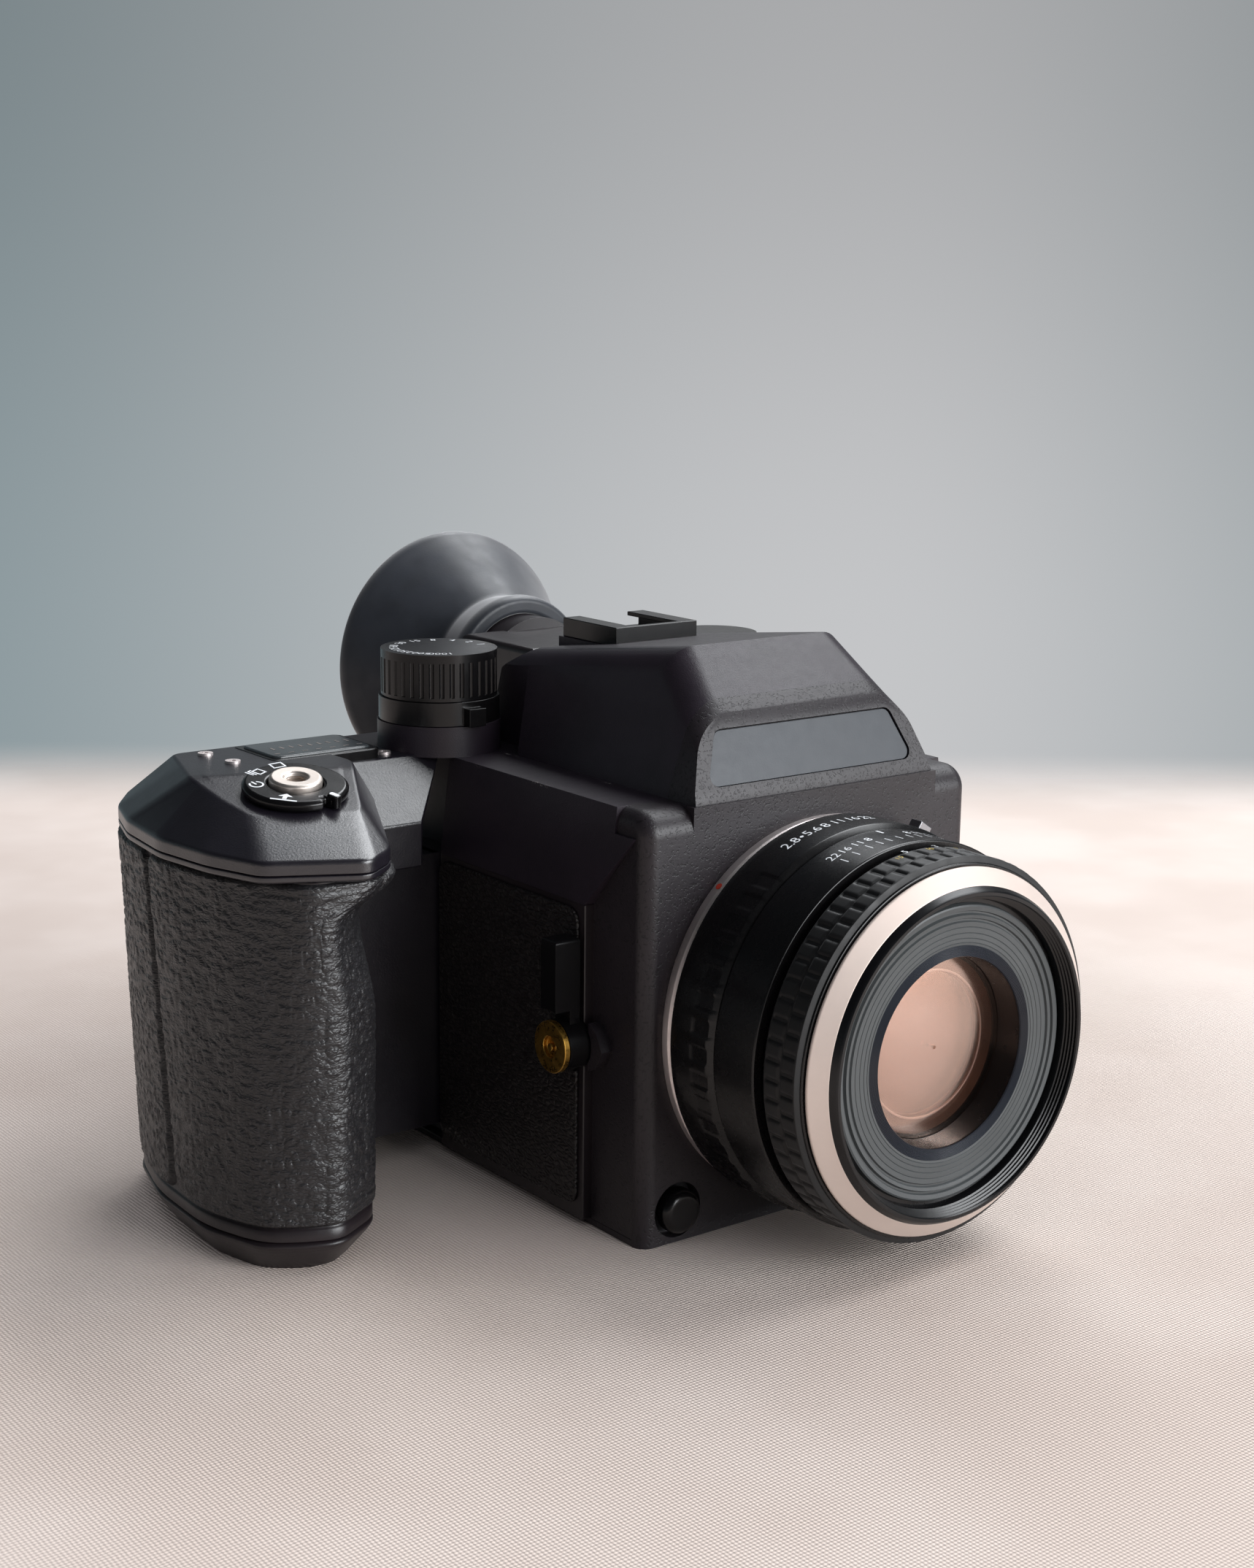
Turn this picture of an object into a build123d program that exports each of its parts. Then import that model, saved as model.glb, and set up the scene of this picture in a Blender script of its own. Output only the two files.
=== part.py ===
"""Medium format film camera with a normal lens, as separate solids, one STEP file for each piece.

Units are millimetres. X runs to the right of a person who faces the lens, Y runs from the lens to the
eyepiece, and Z runs up. The pieces are modelled with the front casing's face at Y = 0, the lens axis at
X = 0 and the table at Z = 0. write_parts moves them all by ORIGIN_SHIFT, so that the origin of the part is
the mouth of the tripod socket in the base.
"""

from build123d import *
import math
import os

# Frame
TRIPOD_Y = 38.0
ORIGIN_SHIFT = (0.0, -TRIPOD_Y, 0.0)

# Fits
SLIDE_FIT = 0.05
AIR = 0.3
SEAT = 0.1

# Body outline
CAST_HALF = 39.5
CASING_LEFT = -CAST_HALF - 2.5
CASING_RIGHT = CAST_HALF + 1.0
COVER_LEFT = -CAST_HALF - 4.6
COVER_RIGHT = CAST_HALF + 3.5
SKIRT_LEFT = COVER_LEFT - 0.2
SKIRT_RIGHT = COVER_RIGHT
CASING_DEPTH = 16.0
CASING_WALL = 3.0
CASING_CORNER = 3.2
SHOULDER_Z = 84.8
SHOULDER_ROUND = 5.0
LIP_DEPTH = 9.0
LIP_Z = 79.8
MITRE_Z = 64.8
BODY_REAR = 94.0
BASE_THICK = 1.5

# Casting and the room inside it
CAST_TOP = 79.7
CAST_REAR = 93.9
MIRROR_ROOM_HALF = 31.0
MIRROR_ROOM_FRONT = 6.4
MIRROR_ROOM_REAR = 62.5
MIRROR_ROOM_LOW = 12.0
MIRROR_ROOM_HIGH = 66.5
SCREEN_SEAT_Z = 69.5
SCREEN_HALF = 28.5
SCREEN_FRONT = 13.0
SCREEN_REAR = 57.5
SCREEN_THICK = 1.8
SCREEN_LEDGE = 2.0
SHUTTER_HALF = 34.0
SHUTTER_LOW = 4.0
SHUTTER_HIGH = 71.0
SHUTTER_REAR = 66.6
FRAME_WIDTH = 56.0
FRAME_HEIGHT = 41.5
RAIL_Y = 68.3
CHAMBER_HALF = CAST_HALF - 3.0
CHAMBER_LOW = 5.0
CHAMBER_HIGH = 77.2

# Lens, measured from its axis and along Y
LENS_Z = 41.8
MOUNT_FACE_Y = -2.6
MOUNT_RADIUS = 37.8
THROAT_RADIUS = 29.0
SPIGOT_RADIUS = 31.0
CLAW_RADIUS = 27.3
CLAW_ANGLE = 46.0
FLANGE_RADIUS = 36.8
TUBE_RADIUS = 27.1
TUBE_BORE = 25.0
CELL_FRONT = -8.0
SLEEVE_RADIUS = 33.0
SLEEVE_BORE = 30.0
APERTURE_RADIUS = 38.5
APERTURE_FRONT = -14.9
APERTURE_REAR = -3.2
BARREL_RADIUS = 37.7
BARREL_FRONT = -26.2
BARREL_REAR = -15.1
FOCUS_RADIUS = 35.6
FOCUS_FRONT = -36.9
FOCUS_REAR = -26.5
RUBBER_RADIUS = 36.8
RUBBER_FRONT = -36.5
RUBBER_REAR = -27.6
TRIM_BIG = 35.0
TRIM_SMALL = 32.0
TRIM_REAR = -37.1
TRIM_EDGE = -37.6
TRIM_FRONT = -40.1
RIM_FRONT = -40.5
FILTER_RADIUS = 29.0
FILTER_DEPTH = 3.7
FRONT_GLASS_RADIUS = 17.0
FRONT_GLASS_Y = -34.2
FRONT_TUBE_REAR = -10.0
IRIS_Y = -18.5
IRIS_HOLE = 12.0
REAR_GLASS_RADIUS = 15.5
BARREL_BORE = 27.0
LOCK_ANGLE = 33.5
LOCK_Y = (-6.6, -3.6)
LOCK_HALF = 1.7
LOCK_LOW = 34.6
LOCK_TOP = 41.0
LOCK_TRAVEL = 0.8

# Prism hump
HUMP_FOOT_HALF = 31.0
HUMP_SLIM_HALF = 24.4
HUMP_WAIST = (58.0, 63.0)
HUMP_CHEEK_Z = 87.0
HUMP_ROOF = [(66.0, 105.2), (73.0, 100.5), (76.0, 91.0)]
HUMP_LOW_HALF = 29.8
HUMP_MID_HALF = 24.6
HUMP_CREST_HALF = 20.8
HUMP_MID_Z = 100.6
CREST_Z = 111.5
CREST_Y = 19.0
HUMP_FRONT_LOW = 0.6
HUMP_FRONT_HIGH = 6.3
HUMP_REAR = 76.0
HUMP_WALL = 2.2
PLATE_LOW_Z = 87.4
PLATE_HIGH_Z = 97.6
PLATE_LOW_HALF = 26.4
PLATE_HIGH_HALF = 22.2
PLATE_DEPTH = 1.2
PLATE_CORNER = 2.0
PLATE_ROOM = 0.15
HUMP_ROUND = 7.0
ROUND_LENGTH = 10.0
PLATE_THICK = 0.8

# Eyepiece
EYE_Z = 92.5
EYE_BLOCK_HALF = 18.0
EYE_BLOCK_TOP = 104.0
EYE_TUBE_RADIUS = 14.0
EYE_TUBE_REAR = 113.0
EYE_BORE = 7.2
EYE_BORE_FRONT = 88.0
EYE_GLASS_RADIUS = 12.0
EYE_GLASS_FRONT = 103.0
EYE_GLASS_THICK = 3.5
EYE_BLOCK_FRONT = 71.1
EYE_BLOCK_REAR = 98.0
EYE_WINDOW_HALF = 12.0
EYE_WINDOW_LOW = 87.0
EYE_WINDOW_HIGH = 98.0
CUP_RADIUS = 29.9
CUP_FRONT = 101.0
CUP_REAR = 131.0
CUP_WALL = 1.8
WHEEL_RADIUS = 4.2
WHEEL_PIN = 1.5
WHEEL_PLACE = (90.0, 96.0)

# Accessory shoe, a standard 18.6 mm slot
SHOE_Y = 61.0
SHOE_SLOT = 18.6
SHOE_SLOT_HEIGHT = 2.05
SHOE_LIP_GAP = 12.6
SHOE_LENGTH = 18.6
SHOE_PAD_Z = 106.4
SHOE_PAD_HALF = 11.2
SHOE_BASE = 1.0
SHOE_WALL = 1.3
SHOE_LIP = 0.9

# Dials on the top
DIAL_Y = 76.0
SPEED_X = -38.0
EXPOSURE_X = 35.2
DIAL_RADIUS = 12.0
EXPOSURE_RADIUS = 9.6
PEDESTAL_RIM = 0.8
COLLAR_RIM = 0.5
PEDESTAL_TOP = 91.0
COLLAR_TOP = 96.0
SPEED_TOP = 105.6
EXPOSURE_TOP = 103.0
SPINDLE_RADIUS = 3.0
SPINDLE_SHORT = 3.0

# Grip
DECK_Z = 85.4
DECK_FLAT_Z = 87.5
DECK_RISE = 0.19
DECK_LEAN = 0.05
BAND_HIGH_Z = 78.5
BAND_LOW_Z = 74.5
GRIP_FOOT_Z = 7.0
GRIP_TRIM_Z = 10.2
FOOT_ROUND_Z = 5.6
LEATHER_THICK = 1.2
BAND_OUTLINE = [(-79.5, 28.0), (-84.5, 24.0), (-96.5, 24.4), (-107.2, 40.5), (-111.0, 58.0), (-109.2, 75.0),
                (-105.0, 88.0), (-98.0, 98.0), (-62.0, 98.0), (-60.0, 66.0), (-64.9, 56.5)]
DECK_OUTLINE = [(-78.5, 39.8), (-79.8, 38.2), (-88.9, 39.0), (-98.7, 45.6), (-100.4, 55.0), (-100.7, None),
                (-97.1, 75.9), (-93.4, 87.1), (-68.2, 87.1), (-67.2, 62.1), (-69.95, None)]
GRIP_HIGH = [(-82.0, 28.6), (-86.0, 25.2), (-96.6, 25.6), (-106.0, 40.0), (-109.6, 57.5),
             (-107.8, 74.6), (-103.6, 87.2), (-97.0, 96.8), (-62.0, 96.8), (-64.0, 66.0)]
GRIP_LOW = [(-85.5, 28.2), (-88.6, 25.2), (-97.5, 25.6), (-106.2, 31.2), (-110.2, 46.0),
            (-109.4, 66.0), (-104.8, 83.0), (-96.4, 94.6), (-62.0, 94.6), (-64.0, 66.0)]
GRIP_FLOOR = [(-86.9, 32.8), (-89.5, 29.6), (-97.2, 29.9), (-103.6, 34.4), (-106.6, 46.4),
              (-105.8, 65.2), (-101.6, 81.0), (-94.2, 91.4), (-64.6, 91.4), (-66.8, 66.0)]
LEATHER_REAR_Y = 92.0
GROOVE_Y = (61.0, 62.0)
GROOVE_Z = (12.0, 72.5)
GROOVE_DEPTH = 0.6
LEDGE_FOOT_Z = 64.5
LEDGE_LOW_Z = 69.0
LEDGE_LOW = [(-83.6, 28.8), (-86.0, 26.4), (-95.0, 26.4), (-95.0, 45.0), (-75.0, 45.0)]
LEDGE_HIGH = [(-78.6, 28.6), (-82.6, 25.2), (-95.0, 25.2), (-95.0, 45.0), (-71.0, 45.0)]
WEB_FRONT_Y = 66.0
WEB_TOP_Y = 69.0
WEB_SLOPE_Z = 72.0
WEB_LOW_Z = 65.0
WEB_CORNER_X = CASING_LEFT - 5.6
WEB_RIGHT_X = CASING_LEFT - 0.2
WEB_BACK_Y = 71.0
WEB_WALL_Y = 66.4
SHELL_WALL_X = -66.0

# Deck controls
DRIVE_X = -86.6
DRIVE_Y = 50.0
DRIVE_RADIUS = 10.4
DRIVE_TOP = 87.8
TAB_ANGLE = -62
RELEASE_RADIUS = 4.9
RELEASE_TOP = 89.4
RELEASE_TRAVEL = 1.2
RELEASE_SUNK = 0.5
CABLE_HOLE = 2.1
DISPLAY_BOX = (-79.4, -57.4, 70.6, 85.0)
DISPLAY_FRAME = 1.2
WEB_LEFT_X = -72.0
DISPLAY_RISE = 0.5
DISPLAY_SUNK = 1.5
DECK_SCREWS = [(-88.6, 82.2, DECK_FLAT_Z), (-87.7, 72.5, DECK_FLAT_Z), (-53.4, 73.0, DECK_Z)]
DECK_SCREW_RADIUS = 1.5
DECK_SCREW_LENGTH = 4.0

# Batteries
CELL_RADIUS = 7.1
CELL_HEIGHT = 50.0
CELL_Z = 9.0
CELL_NUB_RADIUS = 2.6
CELL_NUB = 1.0
CELL_PLACES = [(-95.5, 39.5), (-96.0, 54.6), (-95.5, 69.7), (-92.6, 84.4), (-80.5, 69.7), (-77.4, 84.4)]
TRAY_WALL = 0.7
TRAY_CUP_Z = 34.0
LATCH_RADIUS = 7.0
LATCH_PLACE = (-88.0, 54.0)
LATCH_DEPTH = 3.0

# Front controls
RELEASE_PIT = (-33.3, 6.5)
RELEASE_PIT_RADIUS = 5.5
LENS_BUTTON_RADIUS = 4.4
LENS_BUTTON_FACE = -2.2
LENS_BUTTON_BACK = 0.8
LENS_BUTTON_STEM = 3.2
LENS_BUTTON_REAR = 12.0
LENS_BUTTON_TRAVEL = 2.0
PREVIEW_Y = 18.4
PREVIEW_Z = 37.3
PREVIEW_HUB_RADIUS = 5.1
PREVIEW_HUB_OUT = COVER_LEFT - 4.9
PREVIEW_ARM_X = (COVER_LEFT - 6.7, COVER_LEFT - 1.0)
PREVIEW_ARM_Y = (16.0, 20.8)
PREVIEW_ARM_TOP = 58.6
PREVIEW_NOTCH = (COVER_LEFT - 3.3, 7.6)
PREVIEW_PIN = 2.0
SCREW_OUT = PREVIEW_HUB_OUT - 1.4
SWITCH_Y = 9.0
SWITCH_Z = 22.0
SWITCH_RADIUS = 6.0

# Mirror, at rest at 45 degrees
MIRROR_HINGE_Y = 60.0
MIRROR_HINGE_Z = 61.8
MIRROR_LENGTH = 50.0
MIRROR_HALF = SCREEN_HALF
MIRROR_GLASS = 1.6
MIRROR_BACK = 1.4
HINGE_PIN = 1.2

# Shutter leaves
LEAF_THICK = 0.3
LEAF_PITCH = 0.9
LEAF_COUNT = 3
LEAF_HEIGHT = 15.4
LEAF_HALF = 30.5
LEAF_FRONT = 63.6

# Film insert
INSERT_HALF = CHAMBER_HALF - AIR
INSERT_FRONT = 69.0
INSERT_REAR = 93.9
INSERT_LOW = 5.3
INSERT_HIGH = 76.2
BACK_HALF = CAST_HALF + 1.5
BACK_THICK = 4.0
BACK_LOW = 2.0
BACK_HIGH = 76.3
SPOOL_Y = 82.0
SPOOL_CORE = 5.9
SPOOL_FLANGE = 11.5
SPOOL_HALF = INSERT_HALF - 4.0
SPOOL_AIR = 0.4
PRESSURE_HALF = SPOOL_HALF - 1.2
PRESSURE_REAR = 72.2
PRESSURE_BRIDGE = (34.0, 49.0)
SPOOL_BORE = 2.5
SPOOL_LOW_Z = 18.6
SPOOL_HIGH_Z = 63.2
KEY_PLACE = (26.0, 14.0)
KEY_RADIUS = 7.0

# Sockets and screws
BUSH_RADIUS = 7.0
BUSH_DEPTH = 9.0
TRIPOD_HOLE = 3.175
SIDE_BUSH_Z = 41.8
LEATHER_SKIN = 0.7
LUG_STEM = 1.8
LUG_HEAD = 3.4
LUG_HEAD_THICK = 1.2
SIDE_LUG = (SKIRT_RIGHT - 0.6, SKIRT_RIGHT + 4.0, 84.0, 76.4)
GRIP_LUG = (95.4, 100.0, -88.0, 66.0)
SOCKETS = [(26.0, 56.0), (38.0, 58.0)]
SOCKET_RADIUS = 4.0
SOCKET_OUT = COVER_RIGHT + 1.2


def block(x0, x1, y0, y1, z0, z1):
    """A box between two corners."""
    middle = ((x0 + x1) / 2, (y0 + y1) / 2, (z0 + z1) / 2)
    return Pos(*middle) * Box(abs(x1 - x0), abs(y1 - y0), abs(z1 - z0))


def rod_x(radius, x0, x1, y, z):
    """A round bar along X."""
    return Pos((x0 + x1) / 2, y, z) * Rot(0, 90, 0) * Cylinder(radius, abs(x1 - x0))


def rod_y(radius, y0, y1, x=0.0, z=LENS_Z):
    """A round bar along Y, on the lens axis unless a place is given."""
    return Pos(x, (y0 + y1) / 2, z) * Rot(90, 0, 0) * Cylinder(radius, abs(y1 - y0))


def rod_z(radius, z0, z1, x, y):
    """A round bar along Z."""
    return Pos(x, y, (z0 + z1) / 2) * Cylinder(radius, abs(z1 - z0))


def tube_y(outer, inner, y0, y1, x=0.0, z=LENS_Z):
    """A round tube along Y."""
    return rod_y(outer, y0, y1, x, z) - rod_y(inner, y0 - 1, y1 + 1, x, z)


def tube_z(outer, inner, z0, z1, x, y):
    """A round tube along Z."""
    return rod_z(outer, z0, z1, x, y) - rod_z(inner, z0 - 1, z1 + 1, x, y)


def slab_z(points, z0, z1):
    """A plan outline in X and Y, raised from z0 to z1."""
    outline = make_face(Polyline(*[(x, y) for x, y in points], close=True))
    return Pos(0, 0, z0) * extrude(outline, z1 - z0)


def slab_y(points, y0, y1):
    """A front outline in X and Z, carried from y0 to y1."""
    outline = make_face(Polyline(*[(x, y0, z) for x, z in points], close=True))
    return extrude(outline, y1 - y0, dir=(0, 1, 0))


def slab_x(points, x0, x1):
    """A side outline in Y and Z, carried from x0 to x1."""
    outline = make_face(Polyline(*[(x0, y, z) for y, z in points], close=True))
    return extrude(outline, x1 - x0, dir=(1, 0, 0))


def turned_y(profile):
    """A solid of revolution about the lens axis from a closed profile of (radius, y) points."""
    outline = make_face(Polyline(*[(r, y, 0) for r, y in profile], close=True))
    return Pos(0, 0, LENS_Z) * revolve(outline, Axis.Y, 360)


def lofted(low, high, z0, z1):
    """A solid between two plan outlines with the same number of corners."""
    bottom = make_face(Polyline(*[(x, y, z0) for x, y in low], close=True))
    top = make_face(Polyline(*[(x, y, z1) for x, y in high], close=True))
    return loft([bottom, top], ruled=True)


def edges_at(solid, axis, place, reach=0.05):
    """The edges whose middles lie in one plane square to an axis."""
    return [e for e in solid.edges() if abs(getattr(e.center(), axis) - place) < reach]


def shrunk(points, inset):
    """A closed outline that runs clockwise seen from above, with each side moved inwards."""
    result = []
    count = len(points)
    for i in range(count):
        (ax, ay), (bx, by), (cx, cy) = points[i - 1], points[i], points[(i + 1) % count]
        first = math.hypot(bx - ax, by - ay)
        second = math.hypot(cx - bx, cy - by)
        n1 = ((by - ay) / first, (ax - bx) / first)
        n2 = ((cy - by) / second, (bx - cx) / second)
        reach = inset / (1 + n1[0] * n2[0] + n1[1] * n2[1])
        result.append((bx + (n1[0] + n2[0]) * reach, by + (n1[1] + n2[1]) * reach))
    return result


def hump_plan(inset):
    """The plan outline of the prism hump, narrower beside the two top dials."""
    wide = HUMP_FOOT_HALF - inset
    slim = HUMP_SLIM_HALF - inset
    front = HUMP_FRONT_LOW + inset
    rear = HUMP_REAR - inset
    start, end = HUMP_WAIST
    return [(-wide, front), (wide, front), (wide, start), (slim, end), (slim, rear), (-slim, rear),
            (-slim, end), (-wide, start)]


def hump_solid(inset, foot_z):
    """The prism hump, or the room inside it when an inset is given."""
    roof = [(y, z - inset) for y, z in HUMP_ROOF[:-1]]
    tail = (HUMP_REAR - inset, HUMP_ROOF[-1][1])
    side = [(HUMP_FRONT_LOW + inset, foot_z), (HUMP_FRONT_LOW + inset, SHOULDER_Z + 0.2),
            (HUMP_FRONT_HIGH + inset, HUMP_MID_Z - inset / 2), (CREST_Y, CREST_Z - inset)]
    side += roof + [tail, (HUMP_REAR - inset, foot_z)]
    low = HUMP_LOW_HALF - inset
    mid = HUMP_MID_HALF + 0.4 - inset
    crest = HUMP_CREST_HALF + 0.6 - inset
    foot = HUMP_FOOT_HALF - inset
    front = [(-foot, foot_z), (foot, foot_z), (low, HUMP_CHEEK_Z), (mid, HUMP_MID_Z), (crest, CREST_Z),
             (-crest, CREST_Z), (-mid, HUMP_MID_Z), (-low, HUMP_CHEEK_Z)]
    shape = slab_x(side, -HUMP_FOOT_HALF, HUMP_FOOT_HALF)
    shape = shape & slab_y(front, 0, HUMP_REAR)
    return shape & slab_z(hump_plan(inset), foot_z - 1, CREST_Z + 1)


def hump_outside():
    """The hump's outer form, with round edges between its sides and its slope and roof."""
    solid = hump_solid(0, LIP_Z)
    rounded = []
    for edge in solid.edges():
        start = edge @ 0
        end = edge @ 1
        forward = abs(start.X - end.X) < abs(start.Y - end.Y) + abs(start.Z - end.Z)
        upper = edge.center().Z > HUMP_MID_Z and min(start.Z, end.Z) > HUMP_MID_Z - 1
        ahead = max(start.Y, end.Y) <= HUMP_ROOF[0][0] + 0.1 and edge.center().Y != HUMP_WAIST[1]
        if forward and upper and ahead and edge.length > ROUND_LENGTH:
            rounded.append(edge)
    return fillet(rounded, HUMP_ROUND)


def plate_prism(inset, start, end):
    """The name plate's outline on the hump's leaning front, carried inwards from one depth to another."""
    rise = HUMP_MID_Z - SHOULDER_Z - 0.2
    run = HUMP_FRONT_HIGH - HUMP_FRONT_LOW
    length = math.hypot(rise, run)
    front = Plane(origin=(0, HUMP_FRONT_LOW, SHOULDER_Z + 0.2), x_dir=(1, 0, 0), z_dir=(0, -rise, run))
    low = PLATE_LOW_HALF - inset
    high = PLATE_HIGH_HALF - inset
    v0 = (PLATE_LOW_Z - SHOULDER_Z) * length / rise + inset
    v1 = (PLATE_HIGH_Z - SHOULDER_Z) * length / rise - inset
    outline = make_face(Polyline((-low, v0), (low, v0), (high, v1), (-high, v1), close=True))
    solid = extrude(outline, start - end)
    solid = fillet([e for e in solid.edges() if abs(e.length - (end - start)) < 0.01], PLATE_CORNER - inset)
    return front.location * Pos(0, 0, -start) * solid


def body_casting():
    """The metal casting that holds the mirror room, the shutter and the film chamber."""
    solid = block(-CAST_HALF, CAST_HALF, CASING_WALL, CAST_REAR, BASE_THICK, CAST_TOP)
    solid -= block(-MIRROR_ROOM_HALF, MIRROR_ROOM_HALF, MIRROR_ROOM_FRONT, MIRROR_ROOM_REAR,
                   MIRROR_ROOM_LOW, MIRROR_ROOM_HIGH)
    solid -= rod_y(THROAT_RADIUS, 0, MIRROR_ROOM_FRONT + 1)
    ledge = SCREEN_HALF - SCREEN_LEDGE
    solid -= block(-ledge, ledge, SCREEN_FRONT + SCREEN_LEDGE, SCREEN_REAR - SCREEN_LEDGE,
                   MIRROR_ROOM_HIGH - 1, CAST_TOP + 1)
    solid -= block(-SCREEN_HALF, SCREEN_HALF, SCREEN_FRONT, SCREEN_REAR, SCREEN_SEAT_Z, CAST_TOP + 1)
    solid -= block(-SHUTTER_HALF, SHUTTER_HALF, MIRROR_ROOM_REAR - 1, SHUTTER_REAR, SHUTTER_LOW,
                   SHUTTER_HIGH)
    solid -= block(-FRAME_WIDTH / 2, FRAME_WIDTH / 2, SHUTTER_REAR - 1, RAIL_Y + 1,
                   LENS_Z - FRAME_HEIGHT / 2, LENS_Z + FRAME_HEIGHT / 2)
    solid -= block(-CHAMBER_HALF, CHAMBER_HALF, RAIL_Y, CAST_REAR + 1, CHAMBER_LOW, CHAMBER_HIGH)
    solid -= rod_z(BUSH_RADIUS, 0, BUSH_DEPTH, 0, TRIPOD_Y)
    solid -= rod_x(BUSH_RADIUS, CAST_HALF - 6, CAST_HALF + 1, TRIPOD_Y, SIDE_BUSH_Z)
    solid -= rod_y(LENS_BUTTON_STEM + SLIDE_FIT, 0, LENS_BUTTON_REAR + LENS_BUTTON_TRAVEL + 1,
                   RELEASE_PIT[0], RELEASE_PIT[1])
    solid -= rod_x(PREVIEW_PIN, -CAST_HALF - 1, -CAST_HALF + 4, PREVIEW_Y, PREVIEW_Z)
    return solid


def mitre_wedge(x0, x1):
    """The part of the casing's side above the slanted joint with the top cover."""
    points = [(CASING_WALL, LIP_Z), (CASING_DEPTH, MITRE_Z), (CASING_DEPTH, LIP_Z)]
    return slab_x(points, x0, x1)


def front_casing():
    """The front cover with the shoulder lip and the two side bands."""
    solid = block(CASING_LEFT, CASING_RIGHT, 0, CASING_DEPTH, 0, SHOULDER_Z)
    solid = fillet([e for e in edges_at(solid, "Y", 0) if e.center().Z > SHOULDER_Z - 1], SHOULDER_ROUND)
    upright = [e for e in edges_at(solid, "Y", 0) if abs(e.center().X) > HUMP_FOOT_HALF]
    solid = fillet(upright, CASING_CORNER)
    solid -= block(-CAST_HALF, CAST_HALF, CASING_WALL, CASING_DEPTH + 1, -1, LIP_Z)
    solid -= block(-60, 60, LIP_DEPTH, CASING_DEPTH + 1, LIP_Z, SHOULDER_Z + 1)
    solid -= block(CASING_LEFT - 1, CASING_RIGHT + 1, CASING_WALL, CASING_DEPTH + 1, -1, BASE_THICK)
    for x0, x1 in ((CASING_LEFT - 1, -CAST_HALF), (CAST_HALF, CASING_RIGHT + 1)):
        solid -= mitre_wedge(x0, x1)
    solid += block(-HUMP_FOOT_HALF, HUMP_FOOT_HALF, 0, LIP_DEPTH, LIP_Z, SHOULDER_Z)
    solid += hump_outside() & block(-60, 60, 0, LIP_DEPTH, LIP_Z, CREST_Z)
    solid -= hump_solid(HUMP_WALL, LIP_Z)
    solid -= plate_prism(0, 0, PLATE_DEPTH)
    solid -= rod_y(SPIGOT_RADIUS, -1, CASING_WALL + 1)
    solid -= rod_y(RELEASE_PIT_RADIUS, -1, CASING_WALL, RELEASE_PIT[0], RELEASE_PIT[1])
    fairing = [(14.0, PREVIEW_Z - 4.8), (14.0, PREVIEW_Z + 4.8), (11.5, PREVIEW_Z + 3.4),
               (9.6, PREVIEW_Z), (11.5, PREVIEW_Z - 3.4)]
    solid += slab_x(fairing, CASING_LEFT - 2.6, CASING_LEFT + 1)
    hub_room = PREVIEW_HUB_RADIUS + AIR
    solid -= rod_x(hub_room, CASING_LEFT - 4, CASING_LEFT, PREVIEW_Y, PREVIEW_Z)
    return solid


def grip_side_cover():
    """The flat cover on the grip side, between the side band and the grip's web."""
    solid = block(COVER_LEFT, -CAST_HALF, CASING_DEPTH, WEB_WALL_Y, BASE_THICK, MITRE_Z)
    solid -= rod_x(PREVIEW_PIN, COVER_LEFT - 5, -CAST_HALF + 1, PREVIEW_Y, PREVIEW_Z)
    return solid


def socket_side_cover():
    """The cover on the side away from the grip, with the side bush and sockets."""
    solid = block(CAST_HALF, COVER_RIGHT, CASING_DEPTH, BODY_REAR, BASE_THICK, MITRE_Z)
    low_edge = [e for e in edges_at(solid, "X", COVER_RIGHT) if abs(e.center().Z - BASE_THICK) < 0.1]
    solid = fillet(low_edge, 1.0)
    solid -= rod_x(BUSH_RADIUS, CAST_HALF - 1, COVER_RIGHT + 1, TRIPOD_Y, SIDE_BUSH_Z)
    for y, z in SOCKETS:
        solid -= rod_x(SOCKET_RADIUS, CAST_HALF - 1, COVER_RIGHT + 1, y, z)
    return solid


def skin(x0, x1, y0, y1, z0, z1, corner):
    """A thin leather-grain panel with rounded corners, on a side cover."""
    solid = block(x0, x1, y0, y1, z0, z1)
    ends = [e for e in solid.edges() if abs(e.center().X - (x0 + x1) / 2) < 0.01]
    return fillet(ends, corner)


def grip_side_leather():
    """The leather-grain panel on the grip side."""
    solid = skin(COVER_LEFT - LEATHER_SKIN, COVER_LEFT, CASING_DEPTH + 1.6, WEB_WALL_Y - 0.4, 4.0, 63.6, 3.0)
    return solid - rod_x(PREVIEW_HUB_RADIUS + 0.6, COVER_LEFT - 5, COVER_LEFT + 4, PREVIEW_Y, PREVIEW_Z)


def socket_side_leather():
    """The leather-grain panel on the socket side, cut out for the bush and the sockets."""
    solid = skin(COVER_RIGHT, COVER_RIGHT + LEATHER_SKIN, CASING_DEPTH + 1.6, BODY_REAR - 2, 4.0, 63.0, 3.0)
    solid -= rod_x(BUSH_RADIUS + 2.5, CAST_HALF, 50, TRIPOD_Y, SIDE_BUSH_Z)
    for y, z in SOCKETS:
        solid -= rod_x(SOCKET_RADIUS + 0.8, CAST_HALF, 50, y, z)
    return solid


def base_plate():
    """The base under the casting."""
    solid = block(CASING_LEFT, CASING_RIGHT, CASING_WALL, BODY_REAR, 0, BASE_THICK)
    return solid - rod_z(BUSH_RADIUS, -1, BASE_THICK + 1, 0, TRIPOD_Y)


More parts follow.
